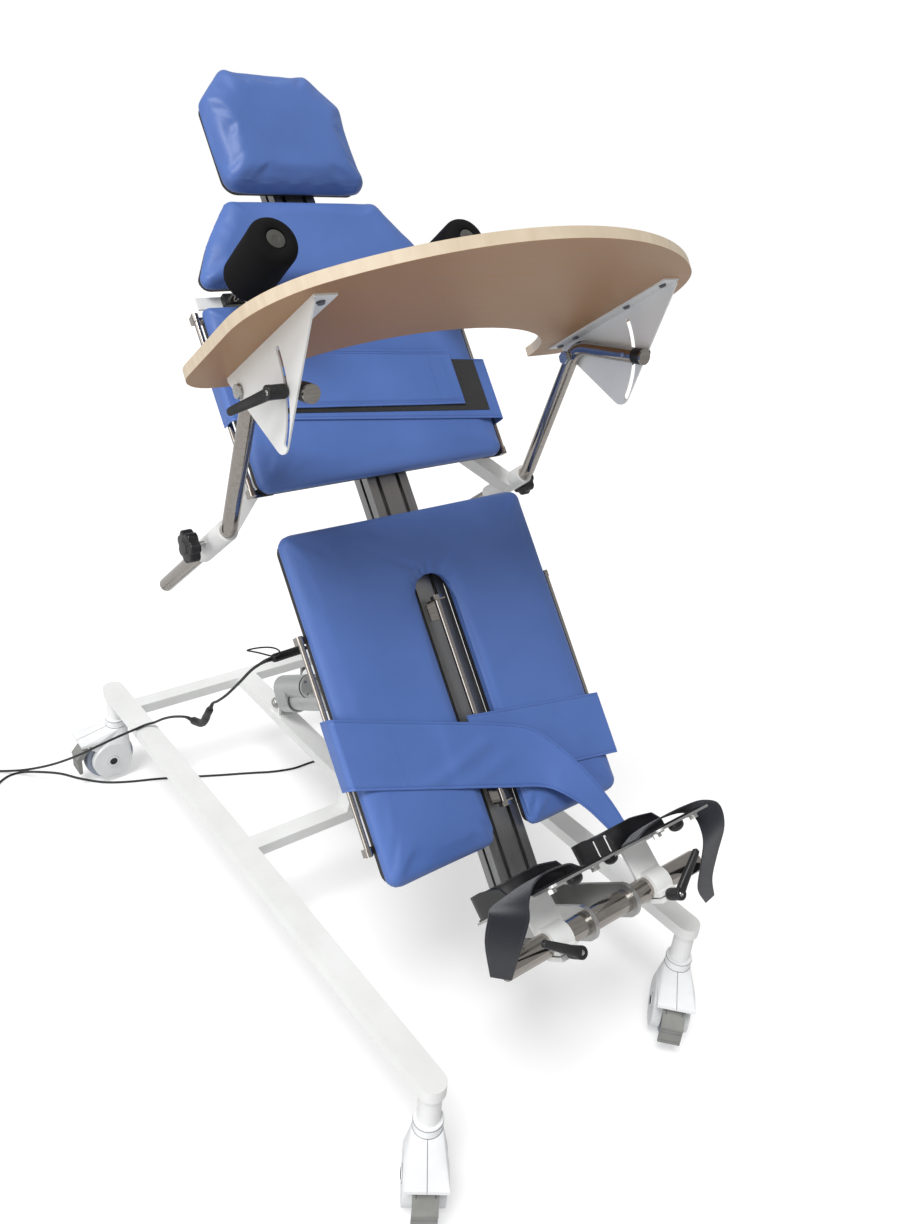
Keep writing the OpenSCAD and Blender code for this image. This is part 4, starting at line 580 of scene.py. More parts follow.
slotOf = {"paint": "white_paint", "hood": "white_paint", "vinyl": "blue_vinyl", "blackVinyl": "black_vinyl",
          "blackPlastic": "black_plastic", "greyPlastic": "grey_plastic", "pedal": "pedal_plastic",
          "wheel": "wheel_tread", "hub": "grey_plastic", "board": "board_black", "chrome": "bright_steel",
          "brushed": "brushed_steel", "spine": "anodised", "ram": "anodised", "wood": "tray_wood",
          "webbing": "black_webbing", "hook": "black_webbing", "cable": "cable_black",
          "thread": "blue_vinyl", "darkThread": "black_webbing", "foam": "black_vinyl",
          "rubber": "black_plastic", "leverPlastic": "black_plastic", "rollDisc": "grey_plastic",
          "zinc": "brushed_steel"}
frameCorners = ("fl", "fr", "rl", "rr")
nodeFinish = {
    "paint": ["side_rails", "cross_members", "centre_rail", "uprights", "actuator_bracket", "pivot_bracket",
              "board_frame", "tray_arms", "tray_brackets", "foot_bracket_left", "foot_bracket_right"],
    "hood": ["caster_hood_" + corner for corner in frameCorners],
    "wheel": ["caster_wheel_" + corner for corner in frameCorners],
    "pedal": ["caster_pedal_" + corner for corner in frameCorners],
    "chrome": ["pivot_shaft", "actuator_rod", "tray_tube_left", "tray_tube_right", "foot_bar",
               "strap_rails", "slot_rod"],
    "brushed": ["foot_carriage", "foot_plate_left", "foot_plate_right"],
    "spine": ["spine"], "ram": ["actuator_body"], "greyPlastic": ["control_box"],
    "blackPlastic": ["tray_knob_left", "tray_knob_right", "tray_lever_left", "tray_lever_right",
                     "foot_lever_left", "foot_lever_right", "lead_fittings"],
    "vinyl": ["leg_pad", "back_pad", "shoulder_pad", "chest_strap", "leg_strap", "head_pad"],
    "blackVinyl": ["bolster_left", "bolster_right"], "wood": ["tray_top"],
    "board": ["backing_boards", "head_carrier"],
    "webbing": ["foot_harness_left", "foot_harness_right"],
    "cable": ["lead_upper", "lead_over_rail", "lead_coil", "lead_floor"],
}
for finish, names in nodeFinish.items():
    for name in names:
        node = cadNodes[name]
        for materialSlot in node.material_slots:
            materialSlot.material = finishes[finish]
print("finishes on the solids")

# the lead: three free stretches, measured on one smooth line each (metres)

leadWidth, leadStep = 0.006, 0.004
glandPoint, bodyStart, bodyEnd = (-0.085, -0.106, 0.690), (-0.156, 0.020, 0.667), (-0.225, 0.020, 0.664)
glandPoints = [glandPoint, (-0.104, -0.106, 0.690), (-0.119, -0.096, 0.690), (-0.127, -0.070, 0.688),
               (-0.129, -0.036, 0.681), (-0.130, -0.004, 0.673), (-0.134, 0.014, 0.669),
               (-0.144, 0.020, 0.6675), bodyStart]
hangingPoints = [bodyEnd, (-0.237, 0.020, 0.6635), (-0.248, 0.028, 0.654), (-0.256, 0.050, 0.630),
                 (-0.262, 0.088, 0.584), (-0.267, 0.138, 0.528), (-0.270, 0.176, 0.492),
                 (-0.270, 0.200, 0.473), (-0.270, 0.215, 0.450)]
connectorPoints = [(-0.270, 0.215, 0.450), (-0.270, 0.232, 0.424), (-0.270, 0.247, 0.400),
                   (-0.271, 0.262, 0.385), (-0.273, 0.280, 0.378), (-0.276, 0.300, 0.373)]
coil = {"centre": (-0.665, 0.839), "turn": -37.0, "turns": 3, "rings": 24, "meanRadius": 0.036,
        "space": 0.0005, "lift": 0.0002}


def coilLine(spec):
    pitch = leadWidth + spec["space"]
    outer = spec["meanRadius"] + spec["turns"] * pitch / 2
    low = leadWidth / 2 + spec["lift"]
    end = 720 * spec["turns"] + 180
    turn = math.radians(spec["turn"])

    def port(x, y, z):
        return (spec["centre"][0] + x * math.cos(turn) - y * math.sin(turn),
                spec["centre"][1] + x * math.sin(turn) + y * math.cos(turn), z)

    line = []
    step = 360 / spec["rings"] / 3
    for i in range(int(end / step) + 1):
        angle = i * step
        r = outer - pitch * min(angle, end - angle) / 360
        past = max(0, min(180, angle - 360 * spec["turns"]))
        climb = low + pitch * (1 - math.cos(math.radians(past))) / 2
        line.append(port(-r * math.sin(math.radians(angle)), r * math.cos(math.radians(angle)), climb))
    return port, outer, pitch, low, line


coilPort, coilOuter, coilPitch, coilLow, coilTurns = coilLine(coil)
railRoute = [connectorPoints[-1], (-0.2805, 0.330, 0.3655), (-0.287, 0.385, 0.336), (-0.293, 0.430, 0.306),
             (-0.302, 0.464, 0.279), (-0.318, 0.480, 0.268), (-0.345, 0.476, 0.267), (-0.370, 0.478, 0.262),
             (-0.400, 0.492, 0.246), (-0.430, 0.520, 0.218), (-0.452, 0.560, 0.182), (-0.468, 0.610, 0.142),
             (-0.486, 0.668, 0.098), (-0.508, 0.726, 0.058), (-0.538, 0.780, 0.026), (-0.572, 0.822, 0.009),
             coilPort(leadWidth * 6, coilOuter, coilLow), coilPort(leadWidth, coilOuter, coilLow)]
floorRoute = [coilPort(leadWidth, -coilOuter, coilLow + coilPitch),
              coilPort(leadWidth * 3, -coilOuter, coilLow + coilPitch * 0.9), (-0.655, 0.775, 0.006),
              (-0.632, 0.770, coilLow), (-0.610, 0.778, coilLow), (-0.590, 0.795, coilLow),
              (-0.566, 0.806, coilLow), (-0.535, 0.803, coilLow), (-0.499, 0.782, coilLow),
              (-0.457, 0.748, coilLow), (-0.420, 0.700, coilLow), (-0.375, 0.655, coilLow),
              (-0.322, 0.625, coilLow), (-0.260, 0.600, coilLow), (-0.205, 0.575, coilLow),
              (-0.150, 0.548, coilLow), (-0.100, 0.524, coilLow), (-0.058, 0.505, coilLow),
              (-0.020, 0.487, coilLow), (0.013, 0.471, coilLow), (0.050, 0.458, coilLow),
              (0.084, 0.451, coilLow), (0.128, 0.451, coilLow), (0.165, 0.447, coilLow),
              (0.196, 0.428, coilLow), (0.210, 0.396, coilLow), (0.204, 0.358, coilLow),
              (0.186, 0.322, 0.005), (0.160, 0.288, 0.016), (0.130, 0.256, 0.048), (0.098, 0.232, 0.108),
              (0.077, 0.223, 0.158), (0.066, 0.215, 0.196), (0.0625, 0.205, 0.214), (0.0625, 0.190, 0.214)]


def makeStretch(name, dense):
    curve = bpy.data.curves.new(name, "CURVE")
    curve.dimensions = "3D"
    curve.bevel_depth = leadWidth / 2
    curve.bevel_resolution = 3
    curve.use_fill_caps = True
    spline = curve.splines.new("POLY")
    spline.points.add(len(dense) - 1)
    for point, place in zip(spline.points, dense):
        point.co = (*place, 1)
    spline.use_smooth = True
    curve.materials.append(finishes["cable"])
    piece = bpy.data.objects.new(name, curve)
    bpy.context.scene.collection.objects.link(piece)
    return piece, pathLength([Vector(p) for p in dense])


glandLine = smoothPath(glandPoints, leadStep)
hangingLine = smoothPath(hangingPoints, leadStep)
mainLine = smoothPath(railRoute, leadStep)[:-1] + [Vector(p) for p in coilTurns]
mainLine += smoothPath(floorRoute, leadStep)[1:]
glandLead, glandLength = makeStretch("leadFromFrame", glandLine)
hangingLead, hangingLength = makeStretch("leadHanging", hangingLine)
mainLead, mainLength = makeStretch("leadToFloor", mainLine)

fitting = {"bodyRadius": 0.009, "bodySides": 24, "reliefLong": 0.022, "reliefRadius": 0.0052, "ribs": 4,
           "ribDeep": 0.0006, "bodyShape": {0.0: 0.62, 0.02: 0.82, 0.06: 0.95, 0.12: 1.0, 0.5: 0.97,
                                            0.88: 1.0, 0.94: 0.95, 0.98: 0.82, 1.0: 0.62},
           "loopLong": 0.075, "loopWide": 0.034, "loopFrom": (-0.206, 0.020, 0.674), "loopTurn": 18.0,
           "loopPinch": 0.28, "loopRise": 0.004, "wire": 0.0016, "connectorRadius": 0.009,
           "gripDeep": 0.0007, "glandRelief": {"reliefRadius": 0.0072, "reliefLong": 0.026},
           "entryRelief": {"reliefRadius": 0.0072, "reliefLong": 0.024}}


def reliefAlong(bm, line, spec):
    # a tapered, ribbed sleeve over the first part of the lead's line
    part, run = [line[0]], 0.0
    for a, b in zip(line, line[1:]):
        run += (b - a).length
        part.append(b)
        if run > spec["reliefLong"]:
            break

    def radiusAt(share):
        plain = spec["reliefRadius"] * (1 - share) + (leadWidth / 2 + spec["ribDeep"]) * share
        return plain - spec["ribDeep"] * (0.5 - 0.5 * math.cos(2 * math.pi * spec["ribs"] * share))

    sweepTube(bm, evenPath(part, 0.0012), radiusAt, 16)


def fillBody(bm, spec):
    a, b, radii = Vector(bodyStart), Vector(bodyEnd), list(spec["bodyShape"].values())
    sweepTube(bm, [a.lerp(b, t) for t in spec["bodyShape"]],
              lambda share: spec["bodyRadius"] * radii[round(share * (len(radii) - 1))], spec["bodySides"])
    reliefAlong(bm, glandLine[::-1], spec)
    reliefAlong(bm, hangingLine, spec)


def fillLoop(bm, spec):
    turn = Matrix.Translation(spec["loopFrom"]) @ Matrix.Rotation(math.radians(spec["loopTurn"]), 4, "Y")
    ring, half = [], spec["loopLong"] / 2
    for i in range(64):
        angle = 2 * math.pi * i / 64
        y = spec["loopWide"] / 2 * math.sin(angle) * (1 - spec["loopPinch"] * math.cos(angle))
        ring.append(turn @ Vector((-half + (half - spec["wire"]) * math.cos(angle), y,
                                   spec["loopRise"] * math.sin(angle * 2))))
    sweepTube(bm, ring, spec["wire"], 10, loop=True)


def fillConnector(bm, spec):
    r = spec["connectorRadius"]

    def radiusAt(share):
        # a cap at each end, a collar, then a ribbed grip
        if share < 0.05 or share > 0.95:
            return r * 0.72
        if share < 0.32:
            return r * 0.9
        return r - (spec["gripDeep"] if 0.34 < share < 0.66 and int(share * 60) % 2 else 0.0)

    sweepTube(bm, smoothPath(connectorPoints, 0.003), radiusAt, 24)
    reliefAlong(bm, hangingLine[::-1], spec)


def makeFittings(spec):
    made = {}
    for name, fill, finish, sharp in (
            ("leadMouldedBody", fillBody, "blackPlastic", 50), ("leadWireLoop", fillLoop, "cable", 35),
            ("leadConnector", fillConnector, "blackPlastic", 50),
            ("leadConnectorTail", lambda bm, s: reliefAlong(bm, mainLine, s), "blackPlastic", 50),
            ("leadGland", lambda bm, s: reliefAlong(bm, glandLine, {**s, **s["glandRelief"]}),
             "blackPlastic", 50),
            ("leadBoxEntry", lambda bm, s: reliefAlong(bm, mainLine[::-1], {**s, **s["entryRelief"]}),
             "blackPlastic", 50)):
        bm = bmesh.new()
        fill(bm, spec)
        made[name] = makePiece(name, bm, asBuilt, finish, "base",
                               *(["lead_fittings"] if fill is fillBody else []), sharp=sharp)
    return made


fittings = makeFittings(fitting)
ridesOn(glandLead, "base", slotOf["cable"], "lead_upper")
ridesOn(hangingLead, "base", slotOf["cable"], "lead_upper")
ridesOn(mainLead, "base", slotOf["cable"], "lead_over_rail", "lead_coil", "lead_floor")
print("lead made,", round(glandLength, 3), round(hangingLength, 3), round(mainLength, 3), "m")

# pads: foam on boards under stretched vinyl, swollen by a short cloth run

clothWork = {"quality": 4, "mass": 0.3, "tension_stiffness": 25, "compression_stiffness": 25,
             "bending_stiffness": 1.5, "use_pressure": True, "uniform_pressure_force": 4.0,
             "vertex_group_mass": "seat"}
padWork = {"low": -0.028, "voxel": 0.0058, "frames": 20, "edgeRadius": 0.019, "drawnIn": 0.0026,
           "startInset": 0.0022, "foot": ((0.0008, 0.005), (0.0, 0.009)), "seat": 0.004,
           "crestSoft": 0.0005, "body": "board", "fill": 0.9}
mm = 0.001
topBand = (-0.016, 0.012)   # where the shaping of a top starts, and over what depth it grows
legSize = {"half": 280, "low": -643, "high": 0, "slotHalf": 38, "slotTop": -130, "mouthRadius": 19,
           "corner": 26}
backSize = {"half": 280, "low": 70, "high": 431, "corner": 26, "small": 18}
shoulderSize = {"bottom": 274, "waist": 229, "top": 164, "low": 458, "high": 637, "corner": 26, "small": 18,
                "waistRadius": 104}
headSize = {"half": 153.5, "top": 92, "low": 650, "high": 902, "chamfer": 70, "corner": 26, "small": 18}


def roundedOutline(corners, steps=7):
    # corners are (across, along, radius) in millimetres; each is turned on its radius
    out = []
    for i, (x, y, r) in enumerate(corners):
        before, after = corners[i - 1], corners[(i + 1) % len(corners)]
        here = Vector((x, y))
        u = (Vector(before[:2]) - here).normalized()
        v = (Vector(after[:2]) - here).normalized()
        half = math.acos(max(-1, min(1, u.dot(v)))) / 2
        centre = here + (u + v).normalized() * r / math.sin(half)
        reach = r / math.tan(half)
        start, end = here + u * reach - centre, here + v * reach - centre
        a0 = math.atan2(start.y, start.x)
        sweep = (math.atan2(end.y, end.x) - a0 + math.pi) % (2 * math.pi) - math.pi
        for k in range(steps + 1):
            a = a0 + sweep * k / steps
            out.append(Vector((centre.x + r * math.cos(a), centre.y + r * math.sin(a))) * mm)
    return out


def closedDistance(loop, x, y):
    # least distance of each point to a closed line
    best = np.full(x.shape, 1e9)
    for a, b in zip(loop, loop[1:] + loop[:1]):
        d = b - a
        span = d.length_squared
        if span < 1e-14:
            continue
        t = np.clip(((x - a.x) * d.x + (y - a.y) * d.y) / span, 0, 1)
        best = np.minimum(best, np.hypot(x - a.x - t * d.x, y - a.y - t * d.y))
    return best


def readPlaces(mesh):
    co = np.empty(len(mesh.vertices) * 3)
    mesh.vertices.foreach_get("co", co)
    return co.reshape(-1, 3)


def writePlaces(mesh, co):
    mesh.vertices.foreach_set("co", co.ravel())
    mesh.update()


def insetLoop(loop, amount):
    # moves each point of an anticlockwise line inwards
    out = []
    for i, p in enumerate(loop):
        ahead = (loop[(i + 1) % len(loop)] - loop[i - 1]).normalized()
        out.append(p + Vector((-ahead.y, ahead.x)) * amount)
    return out


def startForm(name, loop, low, high, spec):
    bm = bmesh.new()
    r, first = spec["edgeRadius"], spec["startInset"]
    levels = [(spec["drawnIn"], low), *((inset, low + rise) for inset, rise in spec["foot"]),
              (0.0, high - r)]
    levels += [(r * (1 - math.cos(a)), high - r + r * math.sin(a))
               for a in (math.pi / 2 * k / 6 for k in range(1, 7))]
    rings = [[Vector((*p, z)) for p in insetLoop(loop, first + inset)] for inset, z in levels]
    ringSweep(bm, rings)
    bmesh.ops.triangulate(bm, faces=[f for f in bm.faces if len(f.verts) > 4])
    bmesh.ops.recalc_face_normals(bm, faces=bm.faces)
    mesh = bpy.data.meshes.new(name)
    bm.to_mesh(mesh)
    bm.free()
    return addObject(name, mesh)


def bakeShape(piece):
    # keeps what the modifiers make and drops them
    made = bpy.data.meshes.new_from_object(piece.evaluated_get(bpy.context.evaluated_depsgraph_get()))
    piece.modifiers.clear()
    piece.data = made


def voxelSkin(piece, size):
    skin = piece.modifiers.new("voxels", "REMESH")
    skin.mode = "VOXEL"
    skin.voxel_size = size
    bakeShape(piece)


def swell(piece, low, cap, spec):
    # cloth under pressure from frame 1 to the last, held at its seat; no point moves further than the cap
    held = piece.vertex_groups.new(name="seat")
    start = readPlaces(piece.data)
    held.add([int(i) for i in np.nonzero(start[:, 2] < low + spec["seat"])[0]], 1.0, "REPLACE")
    cloth = piece.modifiers.new("swell", "CLOTH")
    for key, value in clothWork.items():
        setattr(cloth.settings, key, value)
    cloth.settings.effector_weights.gravity = 0
    cloth.point_cache.frame_start = 1
    cloth.point_cache.frame_end = spec["frames"]
    for number in range(1, spec["frames"] + 1):
        bpy.context.scene.frame_set(number)
    done = bpy.data.meshes.new_from_object(piece.evaluated_get(bpy.context.evaluated_depsgraph_get()))
    move = readPlaces(done) - start
    far = np.linalg.norm(move, axis=1)
    move *= (cap * np.tanh(far / cap) / np.maximum(far, 1e-9))[:, None]
    piece.modifiers.clear()
    piece.vertex_groups.clear()
    writePlaces(piece.data, start + move)
    bpy.data.meshes.remove(done)
    bpy.context.scene.frame_set(1)


def relax(piece, rounds):
    # evens out the voxel steps
    bm = bmesh.new()
    bm.from_mesh(piece.data)
    for _ in range(rounds):
        bmesh.ops.smooth_vert(bm, verts=bm.verts, factor=0.5, use_axis_x=True, use_axis_y=True,
                              use_axis_z=True)
    bm.to_mesh(piece.data)
    bm.free()


def finer(piece):
    part = piece.modifiers.new("finer", "SUBSURF")
    part.levels = part.render_levels = 1
    bakeShape(piece)


def unevenness(co, amount, scale, seed):
    return np.array([noise.noise(Vector((p[0] / scale + seed, p[1] / scale, p[2] / scale)))
                     for p in co]) * amount


def finishPad(piece, finish, node, body):
    for face in piece.data.polygons:
        face.use_smooth = True
    piece.data.transform(boardPlace)
    piece.data.materials.clear()
    piece.data.materials.append(finishes[finish])
    ridesOn(piece, body, slotOf[finish], node)
    return piece


def makePad(name, spec):
    loop = roundedOutline(spec["corners"])
    low, high, cap, top = (spec[key] for key in ("low", "high", "cap", "top"))
    piece = startForm(name, loop, low, high, spec)
    voxelSkin(piece, spec["voxel"])
    relax(piece, 2)
    swell(piece, low, cap, spec)
    finer(piece)
    co = readPlaces(piece.data)
    away = closedDistance(loop, co[:, 0], co[:, 1])
    spec["sculpt"](co, away)
    # nothing rises through the straps, or sinks through the backing
    soft = spec["crestSoft"]
    crest = top - soft
    over = np.maximum(co[:, 2] - crest, 0)
    co[:, 2] = np.where(over > 0, crest + soft * np.tanh(over / soft), co[:, 2])
    co[:, 2] = np.maximum(co[:, 2], low)
    writePlaces(piece.data, co)
    print("pad", name, len(piece.data.polygons), "faces")
    return finishPad(piece, "vinyl", spec["node"], spec["body"])


def rampUp(n, start, reach):
    return np.clip((n - start) / reach, 0, 1)


legForm = {"roll": 0.0050, "rollReach": 0.013, "fold": 0.0016, "folds": 15, "foldSwing": (2.2, 3),
           "foldFrom": (-0.012, 0.03), "foldAt": (0.009, 0.011), "lit": (0.35, 0.65, 0.35), "pull": 0.0006,
           "pulls": (9, 1.0), "pullReach": 0.05, "uneven": (0.0007, 0.11, 3.0), "less": 0.0004}


def legSculpt(co, away):
    # soft roll into the slot, gathers round its closed end and a slow unevenness
    z = legForm
    half, end = legSize["slotHalf"] * mm, legSize["slotTop"] * mm - legSize["slotHalf"] * mm
    x, s, n = co[:, 0], co[:, 1], co[:, 2]
    toSlot = np.maximum(np.where(s > end, np.hypot(x, s - end) - half, np.abs(x) - half), 0)
    facing = rampUp(n, *topBand)
    n -= z["roll"] * np.exp(-toSlot / z["rollReach"]) * facing
    angle = np.arctan2(s - end, x)
    swing, turns = z["foldSwing"]
    fold = np.cos(z["folds"] * angle + swing * np.sin(turns * angle)) * rampUp(s - end, *z["foldFrom"])
    near = np.exp(-((toSlot - z["foldAt"][0]) / z["foldAt"][1]) ** 2)
    low, more, turn = z["lit"]
    lean = low + more * np.clip(np.sin(angle - turn), 0, 1) ** 2
    n += z["fold"] * fold * near * facing * lean
    pull = np.exp(-toSlot / z["pullReach"]) * rampUp(s - end, 0, z["pullReach"])
    n += z["pull"] * np.cos(z["pulls"][0] * angle + z["pulls"][1]) * pull * facing
    n += (unevenness(co, *z["uneven"]) - z["less"]) * facing


def crowned(crown, reach, uneven, less):
    # a top that is a little fuller in its middle and slowly uneven
    def sculpt(co, away):
        shape = crown * (1 - np.exp(-away / reach)) + unevenness(co, *uneven) - less
        co[:, 2] += shape * rampUp(co[:, 2], *topBand)
    return sculpt


headForm = {"top": (0.002, 0.010), "crown": 0.0020, "crownReach": 0.035, "wave": 0.0016,
            "waveBand": (0.013, 0.010), "side": 0.0010, "sideBand": (0.016, 0.010), "edge": 0.0011,
            "edgeHalf": 0.014, "edgeTo": 0.012, "uneven": (0.0011, 0.07, 31.0)}


def headSculpt(co, away):
    # fuller middle, a sewn edge that draws in and ripples along the lower and left sides
    z, low, left = headForm, headSize["low"] * mm, -headSize["half"] * mm
    x, s, n = co[:, 0], co[:, 1], co[:, 2]
    facing = rampUp(n, *z["top"])
    n += z["crown"] * (1 - np.exp(-away / z["crownReach"])) * facing
    at, wide = z["waveBand"]
    wave = np.sin(x / 0.017 + 1.8 * np.sin(x / 0.041)) * np.exp(-((s - low - at) / wide) ** 2)
    n += z["wave"] * wave * facing
    at, wide = z["sideBand"]
    wave = np.sin(s / 0.019 + 1.4 * np.sin(s / 0.05)) * np.exp(-((x - left - at) / wide) ** 2)
    n += z["side"] * wave * facing
    wall = np.clip(1 - np.abs(n - z["top"][0]) / z["edgeHalf"], 0, 1)
    co[:, 1] += z["edge"] * np.sin(x / 0.012 + 2 * np.sin(x / 0.05)) * wall * (s < low + z["edgeTo"])
    n += unevenness(co, *z["uneven"]) * facing


def legCorners(z):
    a, b, lo = z["half"], z["slotHalf"], z["low"]
    return [(-b, lo, z["mouthRadius"]), (-b, z["slotTop"], b - 1), (b, z["slotTop"], b - 1),
            (b, lo, z["mouthRadius"]), (a, lo, z["corner"]), (a, z["high"], z["corner"]),
            (-a, z["high"], z["corner"]), (-a, lo, z["corner"])]


def backCorners(z):
    a = z["half"]
    return [(a, z["low"], z["corner"]), (a, z["high"], z["small"]), (-a, z["high"], z["small"]),
            (-a, z["low"], z["corner"])]


def shoulderCorners(z):
    mid = (z["low"] + z["high"]) / 2
    return [(z["bottom"], z["low"], z["small"]), (z["waist"], mid, z["waistRadius"]),
            (z["top"], z["high"], z["corner"]), (-z["top"], z["high"], z["corner"]),
            (-z["waist"], mid, z["waistRadius"]), (-z["bottom"], z["low"], z["small"])]


def headCorners(z):
    a, b, turn = z["half"], z["top"], z["high"] - z["chamfer"]
    return [(a, z["low"], z["corner"]), (a, turn, z["corner"]), (b, z["high"], z["small"]),
            (-b, z["high"], z["small"]), (-a, turn, z["corner"]), (-a, z["low"], z["corner"])]


pads = {
    "legPad": {"corners": legCorners(legSize), "high": -0.0016, "cap": 0.003, "top": 0.0008,
               "sculpt": legSculpt, "node": "leg_pad"},
    "backPad": {"corners": backCorners(backSize), "high": -0.0016, "cap": 0.003, "top": 0.0018,
                "sculpt": crowned(0.0012, 0.05, (0.0007, 0.12, 11.0), 0.0004), "node": "back_pad"},
    "shoulderPad": {"corners": shoulderCorners(shoulderSize), "high": -0.0016, "cap": 0.0035, "top": 0.0022,
                    "sculpt": crowned(0.0016, 0.04, (0.0006, 0.09, 23.0), 0.0003), "node": "shoulder_pad"},
    "headPad": {"corners": headCorners(headSize), "high": 0.012, "cap": 0.006, "top": 0.022,
                "sculpt": headSculpt, "node": "head_pad", "body": "headrest", "fill": 0.95,
                "voxel": 0.0048, "edgeRadius": 0.024},
}
for padName, padSpec in pads.items():
    makePad(padName, {**padWork, **padSpec})

# one tree for each small repeated shape, planted on points that carry their own turn


def endTree(tree, geometry, given):
    real = tree.nodes.new("GeometryNodeRealizeInstances")
    paintIt = tree.nodes.new("GeometryNodeSetMaterial")
    out = tree.nodes.new("NodeGroupOutput")
    tree.links.new(geometry, real.inputs[0])
    wire(tree, (real, 0, paintIt, "Geometry"), (given, "Finish", paintIt, "Material"), (paintIt, 0, out, 0))


def startTree(name, sizes):
    tree = bpy.data.node_groups.new(name, "GeometryNodeTree")
    tree.interface.new_socket(name="Geometry", in_out="INPUT", socket_type="NodeSocketGeometry")
    for label, value in sizes:
        tree.interface.new_socket(name=label, in_out="INPUT",
                                  socket_type="NodeSocketFloat").default_value = value
    tree.interface.new_socket(name="Finish", in_out="INPUT", socket_type="NodeSocketMaterial")
    tree.interface.new_socket(name="Geometry", in_out="OUTPUT", socket_type="NodeSocketGeometry")
    return tree, tree.nodes.new("NodeGroupInput")


def plantOn(tree, given, shape):
    turn = tree.nodes.new("GeometryNodeInputNamedAttribute")
    turn.data_type = "FLOAT_VECTOR"
    turn.inputs["Name"].default_value = "turn"
    asTurn = tree.nodes.new("FunctionNodeEulerToRotation")
    plant = tree.nodes.new("GeometryNodeInstanceOnPoints")
    wire(tree, (given, "Geometry", plant, "Points"))
    tree.links.new(shape, plant.inputs["Instance"])
    wire(tree, (turn, "Attribute", asTurn, 0), (asTurn, 0, plant, "Rotation"))
    return plant.outputs[0]


def shiftShape(tree, shape, up=None, scale=None):
    move = tree.nodes.new("GeometryNodeTransform")
    tree.links.new(shape, move.inputs["Geometry"])
    for socket, label in ((up, "Translation"), (scale, "Scale")):
        if socket is not None:
            tree.links.new(socket, move.inputs[label])
    return move.outputs[0]


def asVector(tree, **parts):
    made = tree.nodes.new("ShaderNodeCombineXYZ")
    for key, value in parts.items():
        if isinstance(value, float):
            made.inputs[key].default_value = value
        else:
            tree.links.new(value, made.inputs[key])
    return made.outputs[0]


def makeStitchTree():
    # a rounded bar that sinks at both ends
    tree, given = startTree("stitches", [("Length", 0.0026), ("Width", 0.0007), ("Rise", 0.0005)])
    bead = addNode(tree, "GeometryNodeMeshUVSphere", {"Segments": 6, "Rings": 4, "Radius": 0.5})
    size = asVector(tree, X=given.outputs["Length"], Y=given.outputs["Width"], Z=given.outputs["Rise"])
    shape = shiftShape(tree, bead.outputs["Mesh"], scale=size)
    smooth = addNode(tree, "GeometryNodeSetShadeSmooth")
    tree.links.new(shape, smooth.inputs["Geometry"])
    endTree(tree, plantOn(tree, given, smooth.outputs[0]), given)
    return tree


def makeHeadTree(name, sides):
    # a washer and a head of the given number of sides on it
    tree, given = startTree(name, [("Washer Radius", 0.009), ("Washer Height", 0.0015),
                                   ("Head Radius", 0.0065), ("Head Height", 0.005),
                                   ("Socket Radius", 0.001)])
    parts = tree.nodes.new("GeometryNodeJoinGeometry")
    half = {}
    for label in ("Washer Height", "Head Height"):
        half[label] = addNode(tree, "ShaderNodeMath", {1: 0.5}, operation="MULTIPLY")
        tree.links.new(given.outputs[label], half[label].inputs[0])
    washer = addNode(tree, "GeometryNodeMeshCylinder", {"Vertices": 24})
    wire(tree, (given, "Washer Radius", washer, "Radius"), (given, "Washer Height", washer, "Depth"))
    tree.links.new(shiftShape(tree, washer.outputs["Mesh"],
                              asVector(tree, Z=half["Washer Height"].outputs[0])), parts.inputs[0])
    for radius, vertices, extra in (("Head Radius", sides, 0.0), ("Socket Radius", 6, 0.0004)):
        head = addNode(tree, "GeometryNodeMeshCylinder", {"Vertices": vertices})
        lift = addNode(tree, "ShaderNodeMath", operation="ADD")
        more = addNode(tree, "ShaderNodeMath", {1: extra}, operation="ADD")
        wire(tree, (given, "Washer Height", lift, 0), (half["Head Height"], 0, more, 0), (more, 0, lift, 1),
             (given, radius, head, "Radius"), (given, "Head Height", head, "Depth"))
        tree.links.new(shiftShape(tree, head.outputs["Mesh"], asVector(tree, Z=lift.outputs[0])),
                       parts.inputs[0])
    endTree(tree, plantOn(tree, given, parts.outputs[0]), given)
    return tree


stitchTree, hexTree, capTree = makeStitchTree(), makeHeadTree("hexHeads", 6), makeHeadTree("capHeads", 20)
stitch = {"Length": 0.0030, "Width": 0.0008, "Rise": 0.0007}
seamStitch = {"Length": 0.0032, "Width": 0.0008, "Rise": 0.0008}


def headSizes(washer, washerHigh, head, headHigh, socket):
    return {"Washer Radius": washer, "Washer Height": washerHigh, "Head Radius": head,
            "Head Height": headHigh, "Socket Radius": socket}


def plantShapes(name, tree, spots, sizes, finish, body):
    # spots are (place, direction along, direction up) in the shared frame
    mesh = bpy.data.meshes.new(name)
    mesh.from_pydata([spot[0] for spot in spots], [], [])
    turn = mesh.attributes.new("turn", "FLOAT_VECTOR", "POINT")
    for i, (_, along, up) in enumerate(spots):
        z = up.normalized()
        x = (along - z * along.dot(z)).normalized()
        turn.data[i].vector = Matrix((x, z.cross(x), z)).transposed().to_euler()
    piece = addObject(name, mesh)
    grow = piece.modifiers.new("plant", "NODES")
    grow.node_group = tree
    sockets = {item.name: item.identifier for item in tree.interface.items_tree if item.in_out == "INPUT"}
    for label, value in sizes.items():
        grow[sockets[label]] = value
    grow[sockets["Finish"]] = finishes[finish]
    bakeShape(piece)
    return ridesOn(piece, body, slotOf[finish])


def onBoard(spots):
    turn = boardPlace.to_3x3()
    return [(boardPlace @ at, turn @ along, turn @ up) for at, along, up in spots]


# straps, each a band on a smooth line with its own width and lean at every point

